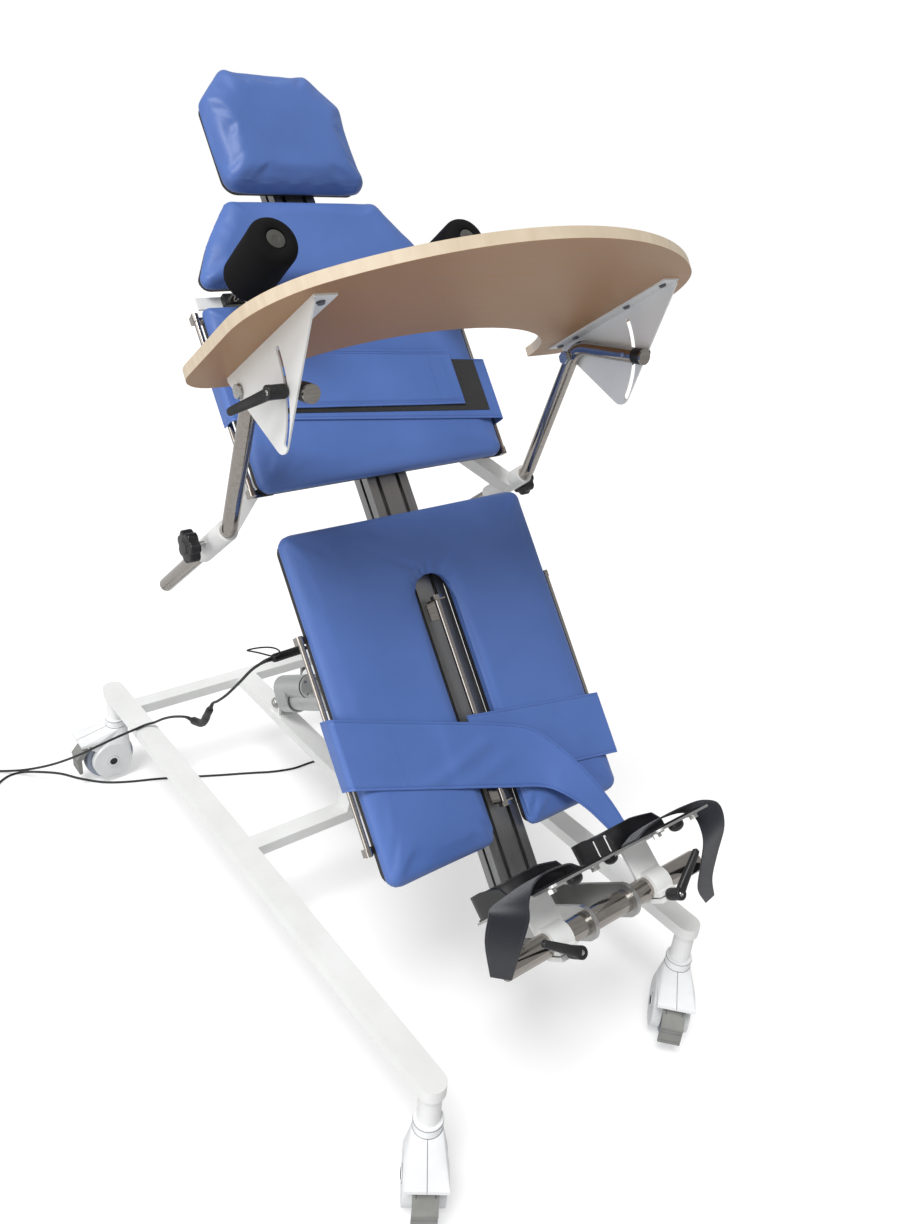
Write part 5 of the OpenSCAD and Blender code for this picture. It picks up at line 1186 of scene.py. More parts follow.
strapWork = {"thick": 0.0025, "sideX": 0.29455, "rest": 0.00355, "low": -0.031, "bend": 0.011, "step": 5,
             "stitchInset": 0.0045, "stitchSecond": 0.0085, "stitchStep": 0.0038,
             "channel": (0.0011, 0.00055),
             "flatX": 0.2836}


def sideLine(side, rise=0.0):
    x, n, r = strapWork["sideX"], strapWork["rest"] + rise, strapWork["bend"]
    turn = [(x - r * (1 - math.cos(a)), n - r + r * math.sin(a))
            for a in (math.pi / 8 * k for k in range(1, 4))]
    return [(side * px, pn) for px, pn in [(x, strapWork["low"]), (x, -0.02), (x, n - r), *turn,
                                           (x - r, n)]]


def controls(line, mid, slope, wide, rise=0.0, lean=(0, 1, 0)):
    return [(x, mid + slope * x, n + rise, *lean, wide) for x, n in line]


def flatLine(x0, x1, count):
    return [(x0 + (x1 - x0) * k / count, strapWork["rest"]) for k in range(1, count + 1)]


def throughControls(rows, steps):
    table = np.array(rows, dtype=float)
    table = np.vstack([2 * table[0] - table[1], table, 2 * table[-1] - table[-2]])
    out = []
    for i in range(1, len(table) - 2):
        out += [between(*table[i - 1:i + 3], k / steps) for k in range(steps)]
    out.append(table[-2])
    return [(Vector(r[:3]), Vector(r[3:6]).normalized(), float(r[6])) for r in out]


def foldLift(at, folds):
    # soft creases, each along a line between two places seen from above the board
    total = 0.0
    for x, y, toX, toY, wide, high in folds:
        run = Vector((toX - x, toY - y))
        share = max(0.0, min(1.0, Vector((at.x - x, at.y - y)).dot(run) / run.length_squared))
        gap = math.hypot(at.x - x - run.x * share, at.y - y - run.y * share)
        total += high * math.exp(-(gap / wide) ** 2)
    return total


def outAt(rows, i):
    # the direction out of the band's face at one of its points
    ahead = (rows[min(len(rows) - 1, i + 1)][0] - rows[max(0, i - 1)][0]).normalized()
    return ahead.cross(rows[i][1]).normalized()


def rippleAt(at, ripple, seed):
    # lifts the band a little, never lowers it
    return ripple * (0.5 + 0.5 * noise.noise(Vector((at.x * 16 + seed, at.y * 16, at.z * 16))))


def bandOn(bm, rows, thick, ripple=0.0, seed=0.0, across=16, channels=(), folds=()):
    # rows of (place, width direction, width); a channel is a groove for stitches, at its inset from each edge
    channelHalf, channelDeep = strapWork["channel"]
    rings = []
    for i, (p, wide, w) in enumerate(rows):
        out = outAt(rows, i)
        half, t = w / 2, thick / 2
        top, low = [], []
        shares = [k / across * 2 - 1 for k in range(across + 1)]
        for inset in channels:
            shares += [side * (1 - (inset + d) / half) for side in (-1, 1)
                       for d in (-channelHalf, 0.0, channelHalf)]
        for share in sorted(shares):
            at = p + wide * (half - t * 0.6) * share
            inset = half * (1 - abs(share))
            sink = max([0.0] + [channelDeep * (1 - abs(inset - c) / channelHalf) for c in channels])
            lift = rippleAt(at, ripple, seed) - sink
            lift += foldLift(at, folds) * (1 - share ** 4)
            top.append(at + out * (t + lift))
            low.append(at + out * (-t + lift + sink))
        near = p - wide * half + out * ((top[0] - p).dot(out) - t)
        far = p + wide * half + out * ((top[-1] - p).dot(out) - t)
        rings.append([*low, far, *reversed(top), near])
    ringSweep(bm, rings)
    return rings


def edgeStitches(rows, inset, thick, step, side, ripple=0.0, seed=0.0, start=0.0, end=0.0):
    # a row of stitches that stays a fixed inset from one long edge
    line, outs = [], []
    for i, (p, wide, w) in enumerate(rows):
        out = outAt(rows, i)
        at = p + wide * side * (w / 2 - inset)
        line.append(at + out * (thick / 2 + rippleAt(at, ripple, seed)))
        outs.append(out)
    total = pathLength(line)
    spots, run, j, want = [], 0.0, 0, start + step / 2
    while j < len(line) - 1 and want < total - end:
        span = (line[j + 1] - line[j]).length
        if run + span >= want:
            share = (want - run) / span
            spots.append((line[j].lerp(line[j + 1], share), line[j + 1] - line[j],
                          outs[j].lerp(outs[j + 1], share)))
            want += step
        else:
            run += span
            j += 1
    return spots


def crossStitches(rows, index, inset, thick, step):
    # a row across the band at one point of its line
    p, wide, w = rows[index]
    out, count = outAt(rows, index), int((w - 2 * inset) / step)
    return [(p + wide * (-w / 2 + inset + (k + 0.5) * step) + out * thick / 2, wide, out)
            for k in range(count)]


def nearestRow(rows, x):
    return min(range(len(rows)), key=lambda i: abs(rows[i][0].x - x))


chest = {"wide": 0.130, "mid": 0.240, "slope": -0.109, "flapWide": 0.115, "flapMid": 0.257,
         # the tape's middle lies below the flap's, so black shows under the flap: partly the tape, partly
         # painted shade
         "flapSlope": -0.087, "flapEnd": 0.203, "tapeWide": 0.110, "tapeMid": 0.2444,
         "tapeSlope": -0.0975, "tapeThick": 0.001, "tapeFrom": -0.235, "tapeTo": 0.262,
         "flapStart": [(-0.279, 0.0028), (-0.262, 0.0034), (-0.235, 0.0038)], "flapWave": 0.0006,
         "flapLift": 0.0016, "ripple": (0.0006, 2.0)}
legs = {"wide": 0.126, "shortMid": -0.470, "shortSlope": -0.142, "shortEnd": -0.070, "longMid": -0.488,
        "longSlope": -0.32, "drop": -0.001, "over": 0.0028, "seamX": -0.212, "ripple": (0.0007, 7.0),
        "folds": [(-0.150, -0.500, -0.010, -0.462, 0.013, 0.0034),
                  (-0.095, -0.535, 0.030, -0.500, 0.011, 0.0022)],
        "loose": [(0.085, -0.520, 0.012, 0.1, 1, 0, 0.116), (0.125, -0.560, 0.022, 0.3, 1, 0, 0.091),
                  (0.160, -0.612, 0.030, 0.55, 1, 0.1, 0.066), (0.186, -0.664, 0.034, 0.8, 0.8, 0.1, 0.050),
                  (0.204, -0.708, 0.035, 0.9, 0.6, 0.1, 0.038)]}


def makeChestStrap(spec, work):
    flat = sideLine(-1) + flatLine(-work["flatX"], work["flatX"], 10)[:-1] + sideLine(1)[::-1]
    under = throughControls(controls(flat, spec["mid"], spec["slope"], spec["wide"]), work["step"])
    start, rise = spec["flapStart"][-1]
    long = spec["flapEnd"] - start
    flapX = spec["flapStart"] + [(start + long * k / 8, rise + spec["flapWave"] * (k % 2))
                                 for k in range(1, 8)]
    flapX += [(spec["flapEnd"], rise + spec["flapLift"])]
    flap = throughControls(controls([(x, work["rest"] + r) for x, r in flapX], spec["flapMid"],
                                    spec["flapSlope"], spec["flapWide"]), work["step"])
    bm = bmesh.new()
    bandOn(bm, under, work["thick"], channels=(work["stitchInset"],))
    bandOn(bm, flap, work["thick"], *spec["ripple"], channels=(work["stitchInset"], work["stitchSecond"]))
    makePiece("chestStrap", bm, boardPlace, "vinyl", "board", "chest_strap", sharp=50)
    bm = bmesh.new()
    # the tape lies lower than the flap, so a black strip shows along the flap's lower edge: partly the tape's
    # own edge, partly painted shade standing in for the shadow under the flap
    level = work["rest"] + work["thick"] / 2 + 0.0001 + spec["tapeThick"] / 2
    tapeLong = spec["tapeTo"] - spec["tapeFrom"]
    tape = throughControls(controls([(spec["tapeFrom"] + tapeLong * k / 8, level) for k in range(9)],
                                    spec["tapeMid"], spec["tapeSlope"], spec["tapeWide"]), 3)
    bandOn(bm, tape, spec["tapeThick"])
    makePiece("chestHookTape", bm, boardPlace, "hook", "board", sharp=50)
    spots = []
    for side in (-1, 1):
        for inset in (work["stitchInset"], work["stitchSecond"]):
            spots += edgeStitches(flap, inset, work["thick"], work["stitchStep"], side, *spec["ripple"],
                                  0.004, inset)
        spots += edgeStitches(under, work["stitchInset"], work["thick"], work["stitchStep"], side, 0.0, 0.0,
                              0.05, 0.05)
    for back in (3, 6):
        spots += crossStitches(flap, len(flap) - back, 0.006, work["thick"] + 0.0009, work["stitchStep"])
    plantShapes("chestStitches", stitchTree, onBoard(spots), stitch, "thread", "board")
    print("chest strap,", len(spots), "stitches")


def makeLegStrap(spec, work):
    drop = spec["drop"]
    short = controls(flatLine(spec["shortEnd"] - 0.002, work["flatX"], 8)[:-1] + sideLine(1)[::-1],
                     spec["shortMid"], spec["shortSlope"], spec["wide"], drop)
    turn = throughControls(short, work["step"])
    long = controls(sideLine(-1) + flatLine(-work["flatX"], -0.145, 3), spec["longMid"],
                    spec["longSlope"], spec["wide"], drop)
    long += controls([(-0.105, work["rest"] + 0.0006)], spec["longMid"], spec["longSlope"], spec["wide"],
                     drop)
    long += controls([(x, work["rest"] + spec["over"]) for x in (-0.082, -0.045, 0.0)], spec["longMid"],
                     spec["longSlope"], spec["wide"], drop)
    long += spec["loose"]
    run = throughControls(long, work["step"])
    bm = bmesh.new()
    bandOn(bm, turn, work["thick"], channels=(work["stitchInset"],))
    bandOn(bm, run, work["thick"], *spec["ripple"], 24, (work["stitchInset"],), spec["folds"])
    makePiece("legStrap", bm, boardPlace, "vinyl", "board", "leg_strap", sharp=50)
    spots = []
    for side in (-1, 1):
        spots += edgeStitches(run, work["stitchInset"], work["thick"], work["stitchStep"], side,
                              *spec["ripple"], 0.045, 0.004)
        spots += edgeStitches(turn, work["stitchInset"], work["thick"], work["stitchStep"], side, 0, 0,
                              0.08, 0.045)
    spots += crossStitches(run, nearestRow(run[40:], spec["seamX"]) + 40 if len(run) > 60 else 30, 0.008,
                           work["thick"] + 0.0008, work["stitchStep"])
    plantShapes("legStitches", stitchTree, onBoard(spots), stitch, "thread", "board")
    print("leg strap,", len(spots), "stitches")


makeChestStrap(chest, strapWork)
makeLegStrap(legs, strapWork)

# bolsters: a foam roll on a post, with a disc let into its end

bolsterWork = {"across": 0.202, "along": 0.4445, "low": 0.032, "high": 0.177, "radius": 0.045,
               "soft": 0.017, "sides": 96, "discRadius": 0.0165, "discDeep": 0.0012, "discRim": 0.0006,
               "dimple": (0.006, 0.0052, 0.4), "well": 0.019, "wellDeep": 0.003, "post": 0.008,
               "postOver": 0.02, "postIn": 0.004, "block": (0.040, 0.022, 0.014), "blockFrom": -0.0377,
               "blockEdge": 0.0015, "wobble": 0.0012, "wobbleFrom": 0.004, "wobbleFull": 0.01}


def makeBolster(name, side, spec):
    place = boardPlace @ Matrix.Translation((side * spec["across"], spec["along"], 0))
    r, low, high, soft, well = spec["radius"], spec["low"], spec["high"], spec["soft"], spec["well"]
    floor = high - spec["wellDeep"]
    body = [(0, low)] + [(x, 2 * low - y) for x, y in softEdge(r, low, soft, 1, 10)]
    body += [(r, low + soft + (high - low - 2 * soft) * k / 30) for k in range(1, 30)]
    body += softEdge(r, high, soft, 1, 10)[::-1]
    body += [(well, high - 0.0002), (well - 0.0006, high - 0.001), (well - 0.001, floor), (0, floor)]

    def foam(rr, h, angle):
        # the roll is never quite round, and stays inside its cut size
        if rr < well + spec["wobbleFrom"]:
            return rr
        at = Vector((math.cos(angle) * 1.4, math.sin(angle) * 1.4, h * 20 + side * 5))
        grow = min(1, (rr - well) / spec["wobbleFull"])
        return rr - spec["wobble"] * (0.5 + 0.5 * noise.noise(at)) * grow

    bm = bmesh.new()
    turnProfile(bm, body, spec["sides"], lobe=foam)
    roll = makePiece(name + "Foam", bm, place, "foam", name, name, sharp=60)
    bm = bmesh.new()
    disc, seat, (wide, narrow, share) = spec["discRadius"], floor + 0.0002, spec["dimple"]
    top = seat + spec["discDeep"]
    turnProfile(bm, [(0, seat), (disc, seat)] + softEdge(disc, top, spec["discRim"], 1, 3)[::-1]
                + [(wide, top), (narrow, seat + spec["discDeep"] * share),
                   (0, seat + spec["discDeep"] * share)], 48, place)
    makePiece(name + "EndDisc", bm, asBuilt, "rollDisc", name, sharp=40)
    bm = bmesh.new()
    post, foot, head = spec["post"], spec["blockFrom"] + spec["postIn"], low + spec["postOver"]
    turnProfile(bm, [(0, foot), (post, foot), (post, head), (0, head)], 24, place)
    makePiece(name + "Post", bm, asBuilt, "chrome", name)
    bm = bmesh.new()
    wide, long, thick = spec["block"]
    addBlock(bm, (-wide / 2, -long / 2, spec["blockFrom"]), (wide / 2, long / 2, spec["blockFrom"] + thick),
             spec["blockEdge"])
    makePiece(name + "Block", bm, place, "blackPlastic", name)


for bolsterName, bolsterSide in (("bolster_left", -1), ("bolster_right", 1)):
    makeBolster(bolsterName, bolsterSide, bolsterWork)
print("bolsters made")

# clamp levers: a ribbed hub on a screw and a tapering arm

leverWork = {"hub": 0.011, "hubHigh": 0.032, "reach": 0.084, "tip": 0.006, "neck": 0.0092, "flutes": 20,
             "fluteDeep": 0.00045, "screw": 0.0046, "boltRadius": 0.0045, "start": 0.002,
             "startDown": 0.0062, "thick": (0.0066, 0.0052), "rows": 26, "sides": 24, "squareness": 0.75,
             "roundFrom": 0.94, "roundLong": 0.062,
             "foot": [(0.8, 0.0, 0.0004), (0.86, 0.0, 0.001), (0.9, 0.0, 0.0026), (1, 0.0004, 0.0032),
                      (1, 0.0002, 0.006), (1, 0.0002, 0.013), (1, 0.0002, 0.018), (1, 0.0002, 0.022),
                      (1, 0.0, 0.0262), (1, 0.0, 0.029)]}


def leverRing(share, rise, spec):
    # one cross-section of the arm: flat on top with soft shoulders
    bend = share * share * (3 - 2 * share)
    x = spec["start"] + (spec["reach"] - spec["start"]) * share
    z = spec["hubHigh"] - spec["startDown"] + (rise + spec["startDown"]) * (0.35 * share + 0.65 * bend)
    wide = spec["neck"] * (1 - share) + spec["tip"] * share
    thick = spec["thick"][0] * (1 - share) + spec["thick"][1] * share
    past = share - spec["roundFrom"]
    grow = min(1, math.sqrt(max(0.0, 1 - (past / spec["roundLong"]) ** 2))) if past > 0 else 1
    ring = []
    for k in range(spec["sides"]):
        a = 2 * math.pi * k / spec["sides"]
        c, s = (math.copysign(abs(v) ** spec["squareness"], v) for v in (math.cos(a), math.sin(a)))
        ring.append(Vector((x, wide * grow * c, z + thick * grow * s)))
    return ring


def makeLever(name, body, place, rise, boltBack, spec):
    r, top, screw, bolt = spec["hub"], spec["hubHigh"], spec["screw"], spec["boltRadius"]

    def ribbed(rr, h, angle):
        if rr < r * 0.9 or h < 0.003 or h > top - 0.006:
            return rr
        return rr - spec["fluteDeep"] * (0.5 + 0.5 * math.cos(spec["flutes"] * angle))

    bm = bmesh.new()
    profile = [(0, 0.0004)] + [(r * share - less, h) for share, less, h in spec["foot"]]
    profile += softEdge(r, top, 0.002, 1, 4)[::-1][1:]
    turnProfile(bm, profile + [(screw + 0.001, top), (screw + 0.0006, top - 0.0022), (0, top - 0.0022)], 80,
                lobe=ribbed)
    ringSweep(bm, [leverRing(i / spec["rows"], rise, spec) for i in range(spec["rows"] + 1)])
    makePiece(name, bm, place, "leverPlastic", body, body, sharp=40)
    bm = bmesh.new()
    turnProfile(bm, [(0, -boltBack), (bolt, -boltBack), (bolt, 0.0008), (0, 0.0008)], 20)
    turnProfile(bm, [(0, top - 0.0024), (screw, top - 0.0024), (screw, top - 0.0008),
                     (screw - 0.0006, top - 0.0003), (0.0022, top - 0.0003), (0.0020, top - 0.0016),
                     (0, top - 0.0016)], 24)
    makePiece(name + "Screw", bm, place, "zinc", body)


footSeat = {"across": 0.118, "along": -0.801, "off": 0.2043, "rise": 0.004, "turn": {-1: 147.0, 1: 42.0}}
traySeat = {"across": 0.3588, "at": (0.1247, 0.3245), "rise": 0.022, "turn": 6.0}
for seatSide, sideName in ((-1, "left"), (1, "right")):
    footPlace = (boardPlace
                 @ Matrix.Translation((seatSide * footSeat["across"], footSeat["along"], footSeat["off"]))
                 @ Matrix.Rotation(math.radians(footSeat["turn"][seatSide]), 4, "Z"))
    makeLever("footLever" + sideName.title(), "foot_lever_" + sideName, footPlace, footSeat["rise"], 0.0,
              leverWork)
    outward = (boardPlace @ Matrix.Translation((seatSide * traySeat["across"], *traySeat["at"]))
               @ Matrix.Diagonal((seatSide, 1, 1, 1))
               @ Matrix.Rotation(math.radians(traySeat["turn"]), 4, "X")
               @ Matrix.Rotation(math.radians(90), 4, "Y"))
    makeLever("trayLever" + sideName.title(), "tray_lever_" + sideName, outward, traySeat["rise"], 0.033,
              leverWork)
print("clamp levers made")

# star knobs with a raised middle

knobWork = {"across": 0.3605, "along": 0.033, "off": -0.115, "stem": 0.005, "neck": 0.015, "radius": 0.030,
            "low": 0.018, "high": 0.040, "lobes": 7, "lobeDeep": 0.0042, "lobeSharp": 1.6, "cap": 0.0115,
            "foot": 0.014, "stemFrom": -0.005}


def makeKnob(name, body, side, spec):
    place = (boardPlace @ Matrix.Translation((side * spec["across"], spec["along"], spec["off"]))
             @ Matrix.Rotation(math.radians(90) * side, 4, "Y"))
    r, low, high, neck, cap, foot = (spec[key] for key in ("radius", "low", "high", "neck", "cap", "foot"))

    def star(rr, h, angle):
        if rr < neck * 1.1 or h < low:
            return rr
        dip = (0.5 + 0.5 * math.cos(spec["lobes"] * angle)) ** spec["lobeSharp"]
        return rr - spec["lobeDeep"] * dip * min(1, (rr - neck) / 0.006)

    skirt = [(0, foot), (neck - 0.001, foot), (neck, foot + 0.0008), (neck, low)]
    rim = [(r - 0.002, low + 0.0004), (r - 0.0006, low + 0.0012), (r, low + 0.003), (r, low + 0.009),
           (r, high - 0.0065)]
    rim += softEdge(r, high - 0.002, 0.0035, 1, 5)[::-1]
    face = [(r * 0.62, high - 0.002), (r * 0.52, high - 0.0012), (cap + 0.001, high - 0.0008),
            (cap + 0.0006, high - 0.0018), (cap, high - 0.0018), (cap - 0.0003, high - 0.0002),
            (cap * 0.6, high), (0, high)]
    bm = bmesh.new()
    turnProfile(bm, skirt + rim + face, 112, lobe=star)
    makePiece(name, bm, place, "blackPlastic", body, body, sharp=40)
    bm = bmesh.new()
    stem, start, end = spec["stem"], spec["stemFrom"], foot + 0.0005
    turnProfile(bm, [(0, start), (stem, start), (stem, end), (0, end)], 20)
    makePiece(name + "Stem", bm, place, "zinc", body)


for knobSide, sideName in ((-1, "left"), (1, "right")):
    makeKnob("trayKnob" + sideName.title(), "tray_knob_" + sideName, knobSide, knobWork)
print("knobs made")

# foot rests: heel cup, mat, instep strap and what hangs beneath each plate

rest = {"across": 0.118, "along": -0.783, "bar": 0.174, "lean": 15.0, "rise": 0.078, "plateOff": 0.330,
        "wide": 0.128, "long": 0.285, "corner": 0.012, "mat": 0.0028, "cupHigh": 0.042, "cupThick": 0.0028,
        "cupRadius": 0.061, "cupTo": -0.124, "cupLow": 0.028, "cupLip": 0.0014, "cupRound": 0.008,
        "cupSlope": 0.075, "strapThick": 0.0028, "ridges": 11, "ridgeFrom": 0.012, "ridgeStep": 0.018,
        "ridgeLong": 0.007, "ridgeHigh": 0.0007, "boltsAcross": 0.046, "boltsDown": 0.0036}
insteps = {
    -1: [(0.062, 0.002, -0.095, 0, 0, 1, 0.044), (0.050, 0.006, -0.095, 0, 0, 1, 0.044),
         (0.036, 0.016, -0.095, 0, 0, 1, 0.044), (0.005, 0.020, -0.093, 0, 0, 1, 0.050),
         (-0.030, 0.020, -0.093, 0.1, 0, 1, 0.054), (-0.062, 0.013, -0.092, 0.3, -0.1, 1, 0.060),
         (-0.092, 0.001, -0.084, 0.55, -0.35, 0.75, 0.062),
         (-0.116, -0.015, -0.066, 0.7, -0.57, 0.42, 0.062),
         (-0.132, -0.044, -0.086, 0.7, -0.57, 0.42, 0.056),
         (-0.131, -0.086, -0.136, 0.7, -0.57, 0.42, 0.034)],
    1: [(-0.062, 0.002, -0.085, 0.2, 0, 1, 0.039), (-0.050, 0.006, -0.085, 0.2, 0, 1, 0.039),
        (-0.030, 0.012, -0.082, 0.2, 0, 1, 0.042), (0.005, 0.015, -0.072, 0.25, 0, 1, 0.045),
        (0.040, 0.014, -0.060, 0.35, 0, 0.9, 0.046), (0.070, 0.008, -0.048, 0.5, 0.03, 0.8, 0.046),
        (0.088, -0.010, -0.040, 0.65, 0.07, 0.65, 0.048), (0.088, -0.047, -0.052, 0.9, 0.13, 0.35, 0.050),
        (0.092, -0.086, -0.102, 1, 0.17, 0.15, 0.048), (0.108, -0.120, -0.157, 1, 0.17, 0.15, 0.041),
        (0.137, -0.151, -0.199, 1, 0.17, 0.15, 0.026)]}
domes = {"radius": 0.0135, "high": 0.013, "rim": 0.003, "down": -0.004,
         "at": [(-0.030, -0.190), (0.030, -0.190), (0.0, -0.030)]}
ties = {"wire": 0.0011, 1: (-0.138, -0.172), -1: (), "high": 0.032}


def restPlace(side, spec):
    return (boardPlace @ Matrix.Translation((side * spec["across"], spec["along"], spec["bar"]))
            @ Matrix.Rotation(-math.radians(spec["lean"]), 4, "X")
            @ Matrix.Translation((0, spec["rise"], spec["plateOff"] - spec["bar"])))


def cupRings(spec):
    # cross-sections of the heel cup's wall along its U, lower at both ends and with a rolled lip
    r, back = spec["cupRadius"], -spec["long"] + spec["wide"] / 2 + 0.003
    line = [(r, spec["cupTo"])] + [(r, spec["cupTo"] + (back - spec["cupTo"]) * k / 6) for k in range(1, 6)]
    line += [(r * math.cos(a), back - r * math.sin(a)) for a in (math.pi * k / 28 for k in range(29))]
    line += [(-x, z) for x, z in reversed(line[:6])]
    rings, run, total = [], 0.0, sum(math.dist(a, b) for a, b in zip(line, line[1:]))
    t, lip, rim = spec["cupThick"] / 2, spec["cupLip"], spec["cupRound"]
    for i, (x, z) in enumerate(line):
        if i:
            run += math.dist(line[i - 1], line[i])
        fromEnd = min(run, total - run)
        share = min(1, fromEnd / spec["cupSlope"])
        high = spec["cupLow"] + (spec["cupHigh"] - spec["cupLow"]) * share ** 0.8
        if fromEnd < rim:
            high *= 0.55 + 0.45 * math.sqrt(fromEnd / rim)
        before, after = line[max(0, i - 1)], line[min(len(line) - 1, i + 1)]
        tx, tz = after[0] - before[0], after[1] - before[1]
        size = math.hypot(tx, tz)
        nx, nz = tz / size, -tx / size
        outer = [(t, high * k / 5) for k in (1, 2, 3, 4)]
        section = [(-t, 0.0002), (t, 0.0002), *outer, (t + 0.0004, high - 2 * lip),
                   (t + 0.0007, high - lip), (t, high - 0.0004), (0, high), (-t, high - 0.0004),
                   (-t - 0.0004, high - lip), (-t, high - 2 * lip)]
        section += [(-a, b) for a, b in reversed(outer)]
        rings.append([Vector((x + nx * a, b, z + nz * a)) for a, b in section])
    return rings


def fillMat(bm, spec):
    c, wide, long, mat = spec["corner"], spec["wide"] / 2, spec["long"], spec["mat"]
    addBlock(bm, (c - wide, 0, c * 2 - long), (wide - c, mat, -c), 0.0011)
    for k in range(spec["ridges"]):
        z, top = -c - spec["ridgeFrom"] - k * spec["ridgeStep"], mat + spec["ridgeHigh"]
        addBlock(bm, (c * 1.4 - wide, mat - 0.0004, z), (wide - c * 1.4, top, z + spec["ridgeLong"]), 0.0005)


def fillTies(bm, spec, places):
    # thin white ties that wrap the cup's wall
    x, t, low, high = -spec["cupRadius"], spec["cupThick"] / 2 + 0.0008, 0.004, ties["high"]
    corners = [(x - t, low), (x - t, high), (x + t, high), (x + t, low)]
    for z in places:
        line = []
        for k, (a, b) in enumerate(zip(corners, corners[1:] + corners[:1])):
            line += [Vector((a[0] + (b[0] - a[0]) * s, a[1] + (b[1] - a[1]) * s,
                             z + 0.0015 * math.sin((k + s) * 1.7)))
                     for s in (0.12, 0.5, 0.88)]
        sweepTube(bm, line, ties["wire"], 8, loop=True)


def makeRest(side, sideName, spec):
    place, tag = restPlace(side, spec), sideName.title()
    turn, body, thick = place.to_3x3(), "foot_rest_" + sideName, spec["strapThick"]
    bm = bmesh.new()
    ringSweep(bm, cupRings(spec))
    makePiece("heelCup" + tag, bm, place, "blackPlastic", body, "foot_harness_" + sideName, sharp=50)
    bm = bmesh.new()
    fillMat(bm, spec)
    makePiece("footMat" + tag, bm, place, "rubber", body, sharp=50)
    rows = throughControls(insteps[side], 6)
    bm = bmesh.new()
    bandOn(bm, rows, thick, 0.0006, side * 3.0, across=12)
    makePiece("instepStrap" + tag, bm, place, "webbing", body, sharp=50)
    spots = []
    for edge in (-1, 1):
        spots += edgeStitches(rows, 0.004, thick, 0.004, edge, 0.0006, side * 3.0, 0.02, 0.004)
    plantShapes("instepStitches" + tag, stitchTree, [(place @ a, turn @ b, turn @ n) for a, b, n in spots],
                stitch, "darkThread", body)
    bm = bmesh.new()
    r, rim, over = domes["radius"], domes["rim"], domes["high"] - domes["rim"]
    dome = [(0, 0), (r, 0), (r, rim)] + [(r * math.cos(a), rim + over * math.sin(a))
                                         for a in (math.pi / 16 * k for k in range(1, 8))]
    for x, z in domes["at"]:
        turnProfile(bm, dome + [(0, domes["high"])], 32,
                    Matrix.Translation((x, domes["down"], z)) @ Matrix.Rotation(math.radians(90), 4, "X"))
    makePiece("plateDomes" + tag, bm, place, "blackPlastic", body, sharp=50)
    if ties[side]:
        bm = bmesh.new()
        fillTies(bm, spec, ties[side])
        makePiece("cupTies" + tag, bm, place, "paint", body)
    heads = [(place @ Vector((way * spec["boltsAcross"], -spec["boltsDown"], -spec["wide"] / 4)),
              turn @ Vector((1, 0, 0)), turn @ Vector((0, -1, 0))) for way in (-1, 1)]
    plantShapes("plateBolts" + tag, hexTree, heads, headSizes(0.0098, 0.0016, 0.0078, 0.0062, 0.0036),
                "zinc", body)


for restSide, sideName in ((-1, "left"), (1, "right")):
    makeRest(restSide, sideName, rest)
print("foot rests dressed")

# bolt heads and screws where the solids have plain discs

trayBolts = {"pivot": (0.184, 0.190), "outer": 0.3588, "inner": 0.326,
             "flange": 0.3385, "length": 0.32002, "shares": (0.06, 0.2, 0.64, 0.92), "sheet": 0.003}


def boltTray(spec):
    for side, sideName in ((-1, "left"), (1, "right")):
        up, along = Vector((side, 0, 0)), Vector((0, 0.35, 1))
        s, n = spec["pivot"]
        heads = [(Vector((side * spec["outer"], s, n)), along, up),
                 (Vector((side * spec["inner"], s, n)), along, -up)]
        plantShapes("trayPivotBolts" + sideName.title(), hexTree, onBoard(heads),
                    headSizes(0.0128, 0.0014, 0.0118, 0.0056, 0.0046), "zinc", "tray_slide_" + sideName)
        turn = trayPlace.to_3x3()
        screws = [(trayPlace @ Vector((side * spec["flange"], share * spec["length"], spec["sheet"])),
                   turn @ Vector((1, 0, 0)), turn @ Vector((0, 0, 1))) for share in spec["shares"]]
        plantShapes("trayScrews" + sideName.title(), capTree, screws,
                    headSizes(0.0068, 0.0008, 0.0054, 0.0026, 0.0022), "hub", "tray")


trayPlugs = {"across": 0.341, "end": (0.106, 0.354), "lean": 32.34, "tube": 0.014, "radius": 0.0143,
             "sleeve": 0.018, "cap": 0.0022}


def plugTubes(spec):
    # black plastic caps over the ends of the tray tubes
    t, r, z = spec["tube"] - 0.0004, spec["radius"], spec["cap"]
    profile = [(0, -0.001), (t, -0.001), (t, -spec["sleeve"]), (r, -spec["sleeve"]), (r, z - 0.0012),
               (r - 0.0004, z - 0.0004), (r - 0.0012, z), (0, z + 0.0003)]
    for side, sideName in ((-1, "left"), (1, "right")):
        bm = bmesh.new()
        turnProfile(bm, profile, 48, Matrix.Translation((side * spec["across"], *spec["end"]))
                    @ Matrix.Rotation(math.radians(spec["lean"]), 4, "X"))
        makePiece("trayTubeCap" + sideName.title(), bm, boardPlace, "blackPlastic",
                  "tray_slide_" + sideName, sharp=50)


boltTray(trayBolts)
plugTubes(trayPlugs)
print("tray bolts and caps made")

# casters: seams, axle caps, pedal slots and a tread with ribs

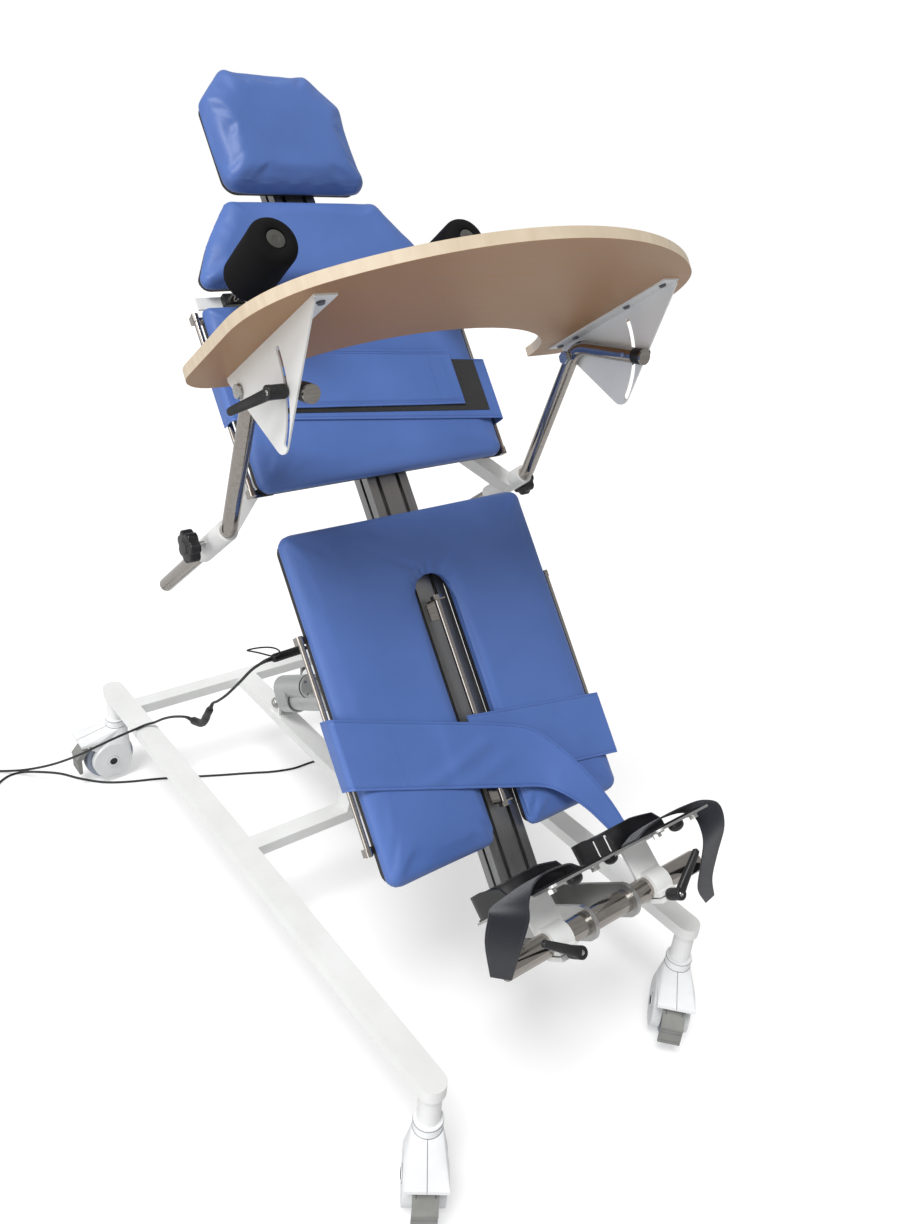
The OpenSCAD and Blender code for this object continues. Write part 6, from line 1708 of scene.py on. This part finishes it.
caster = {"across": 0.318, "along": 0.690, "trail": 0.028, "wheel": 0.0625, "hoodWide": 0.074,
          "ringRadius": 0.026, "ringLow": 0.150, "ringHigh": 0.172, "discRadius": 0.050,
          "discEnds": {1: -68, -1: 248}, "capRadius": 0.015, "capHigh": 0.002, "seam": 0.0006,
          "lip": [(0.104, 0.1335), (0.104, 0.1265), (0.056, 0.1265), (0.0398, 0.1311)],
          "cap": [(0, -0.0005), (0.0098, -0.0005), (0.0098, 0.0004), (0.0092, 0.0008), (0.0052, 0.0008),
                  (0.0046, 0.0002), (0, 0.0002)],
          "pedalEye": (0.080, 0.1175), "pedalTip": (0.108, 0.0845), "pedalRadius": 0.005,
          "eyeRadius": 0.0067, "pedalWide": 0.044, "slot": 0.0014, "slotShares": (0.004, 0.012, 0.020),
          "slotSink": 0.0035, "lineHalf": 0.0205, "lines": ((0.0725, 0.0006), (0.0505, 0.0005)),
          "treadLine": 0.005, "treadWire": 0.0005}
casterYaw = {("front", "left"): -126.0, ("front", "right"): -138.0, ("rear", "left"): 180.0,
             ("rear", "right"): 90.0}


def circle(radius, count, point):
    # point turns two flat coordinates into a place
    return [point(radius * math.cos(a), radius * math.sin(a))
            for a in (2 * math.pi * k / count for k in range(count))]


def hoodSeam(way, spec):
    # where the hood's halves meet: from the ring, over the pedal's lip, then round the disc
    start, r = Vector((way * spec["ringRadius"], 0, spec["ringLow"])), spec["discRadius"]
    centre = Vector((spec["trail"], 0, spec["wheel"]))
    reach = start - centre
    first = math.atan2(reach.z, reach.x) - way * math.acos(r / reach.length)
    last = math.radians(spec["discEnds"][way])
    lip = [Vector((x, 0, z)) for x, z in spec["lip"]] if way == 1 else []
    line = [start] + lip
    end = centre + r * Vector((math.cos(first), 0, math.sin(first)))
    line += [line[-1].lerp(end, k / 8) for k in range(1, 9)]
    angles = [first + (last - first) * k / 20 for k in range(1, 21)]
    return line + [centre + r * Vector((math.cos(a), 0, math.sin(a))) for a in angles]


def makeCaster(end, sideName, spec):
    side, ahead = (-1 if sideName == "left" else 1), (-1 if end == "front" else 1)
    place = (Matrix.Translation((side * spec["across"], ahead * spec["along"], 0))
             @ Matrix.Rotation(math.radians(casterYaw[(end, sideName)]), 4, "Z"))
    tag, seam = end + "_" + sideName, spec["seam"]
    faces = [Matrix.Translation((spec["trail"], way * (spec["hoodWide"] / 2 + spec["capHigh"]),
                                 spec["wheel"]))
             @ Matrix.Rotation(-way * math.pi / 2, 4, "X") for way in (1, -1)]
    bm = bmesh.new()
    # dark seams: round the swivel ring, over the hood and round the axle's caps
    for z in (spec["ringLow"] + 0.0006, spec["ringHigh"] - 0.004):
        sweepTube(bm, circle(spec["ringRadius"], 72, lambda x, y: Vector((x, y, z))), seam, 6, loop=True)
    for way in (1, -1):
        sweepTube(bm, hoodSeam(way, spec), seam, 6)
    for face in faces:
        ring = circle(spec["capRadius"], 48, lambda x, y: face @ Vector((x, y, 0.0002 - spec["capHigh"])))
        sweepTube(bm, ring, seam, 6, loop=True)
    makePiece("casterSeams_" + tag, bm, place, "hub", "caster_" + tag)
    bm = bmesh.new()
    for face in faces:
        turnProfile(bm, spec["cap"], 36, face)
    makePiece("casterAxleCaps_" + tag, bm, place, "blackPlastic", "caster_" + tag, sharp=50)
    # pedal: two slots beside the hood and two lines across it
    (ex, ez), (tx, tz) = spec["pedalEye"], spec["pedalTip"]
    bm = bmesh.new()
    slope = Vector((tx - ex, 0, tz - ez)).normalized()
    out = Vector((-slope.z, 0, slope.x))
    for y in (-1, 1):
        beside = Vector((ex, y * spec["pedalWide"] * 0.36, ez))
        sweepTube(bm, [beside + slope * d + out * (spec["eyeRadius"] - 0.0003 - spec["slotSink"] * d)
                       for d in spec["slotShares"]], spec["slot"], 8)
    half = spec["lineHalf"]
    for z, thin in spec["lines"]:
        sweepTube(bm, [Vector((tx + spec["pedalRadius"], y, z)) for y in (-half, 0.0, half)], thin, 6)
    makePiece("pedalLines_" + tag, bm, place, "hub", "pedal_" + tag)
    # wheel: two lines round the tread
    bm = bmesh.new()
    centre = Matrix.Translation((spec["trail"], 0, spec["wheel"])) @ Matrix.Rotation(math.pi / 2, 4, "X")
    for deep in (-spec["treadLine"], spec["treadLine"]):
        sweepTube(bm, circle(spec["wheel"], 96, lambda x, y: centre @ Vector((x, y, deep))),
                  spec["treadWire"], 6, loop=True)
    makePiece("treadLines_" + tag, bm, place, "hub", "wheel_" + tag)


for casterEnd, casterSide in casterYaw:
    makeCaster(casterEnd, casterSide, caster)
print("caster details made")

# the leg pad's seam, the actuator's rings, pin heads and screws

legSeam = {"x": 0.047, "from": -0.165, "to": -0.632, "rise": 0.0004, "step": 0.0042}
actuator = {"base": (0.372, 0.296), "motorRise": -0.034, "motorRadius": 0.030, "outerRadius": 0.025,
            "rings": (0.078, 0.174), "outerTo": 0.540, "bandOver": (0.0006, 0.0010), "bandWide": 0.004,
            "pinEnd": 0.0253, "screwRing": 0.022}


def makeBoardDetails(seam, spec):
    step = seam["step"]
    count = int((seam["from"] - seam["to"]) / step)
    spots = [(Vector((seam["x"], seam["from"] - (k + 0.5) * step, seam["rise"])), Vector((0, 1, 0)),
              Vector((0, 0, 1)))
             for k in range(count)]
    plantShapes("legPadSeam", stitchTree, onBoard(spots), seamStitch, "thread", "board")
    place = Matrix.Translation((0, *spec["base"])) @ Matrix.Rotation(spec["angle"], 4, "X")
    turn, (low, high), wide = place.to_3x3(), spec["bandOver"], spec["bandWide"]
    bm = bmesh.new()
    for y, r, z in ((spec["rings"][0], spec["outerRadius"], 0.0),
                    (spec["outerTo"] - wide, spec["outerRadius"], 0.0),
                    (spec["rings"][1] - 3 * wide, spec["motorRadius"], spec["motorRise"])):
        band = [(0, y), (r + low, y), (r + high, y + low), (r + high, y + wide - low), (r + low, y + wide),
                (0, y + wide)]
        turnProfile(bm, band, 48, Matrix.Translation((0, 0, z)) @ Matrix.Rotation(-math.pi / 2, 4, "X"))
    makePiece("actuatorRings", bm, place, "blackPlastic", "actuator_housing", sharp=50)
    heads = [(place @ Vector((side * spec["pinEnd"], 0, 0)), turn @ Vector((0, 1, 0)), Vector((side, 0, 0)))
             for side in (-1, 1)]
    plantShapes("actuatorPinHeads", hexTree, heads, headSizes(0.0135, 0.0012, 0.0115, 0.004, 0.004), "zinc",
                "actuator_housing")
    screws = []
    for a in (45, 135, 225, 315):
        c, s = math.cos(math.radians(a)) * spec["screwRing"], math.sin(math.radians(a)) * spec["screwRing"]
        at = place @ Vector((c, spec["rings"][1], spec["motorRise"] + s))
        screws.append((at, turn @ Vector((1, 0, 0)), turn @ Vector((0, 1, 0))))
    plantShapes("motorScrews", capTree, screws, headSizes(0.0036, 0.0004, 0.003, 0.0016, 0.0012), "hub",
                "actuator_housing")


lugArm = 0.161
lugY = board["pivotY"] - lugArm * math.cos(math.radians(board["tilt"]))
lugZ = board["pivotZ"] - lugArm * math.sin(math.radians(board["tilt"]))
actuator["angle"] = math.atan2(lugZ - actuator["base"][1], lugY - actuator["base"][0])
makeBoardDetails(legSeam, actuator)
print("board and actuator details made")
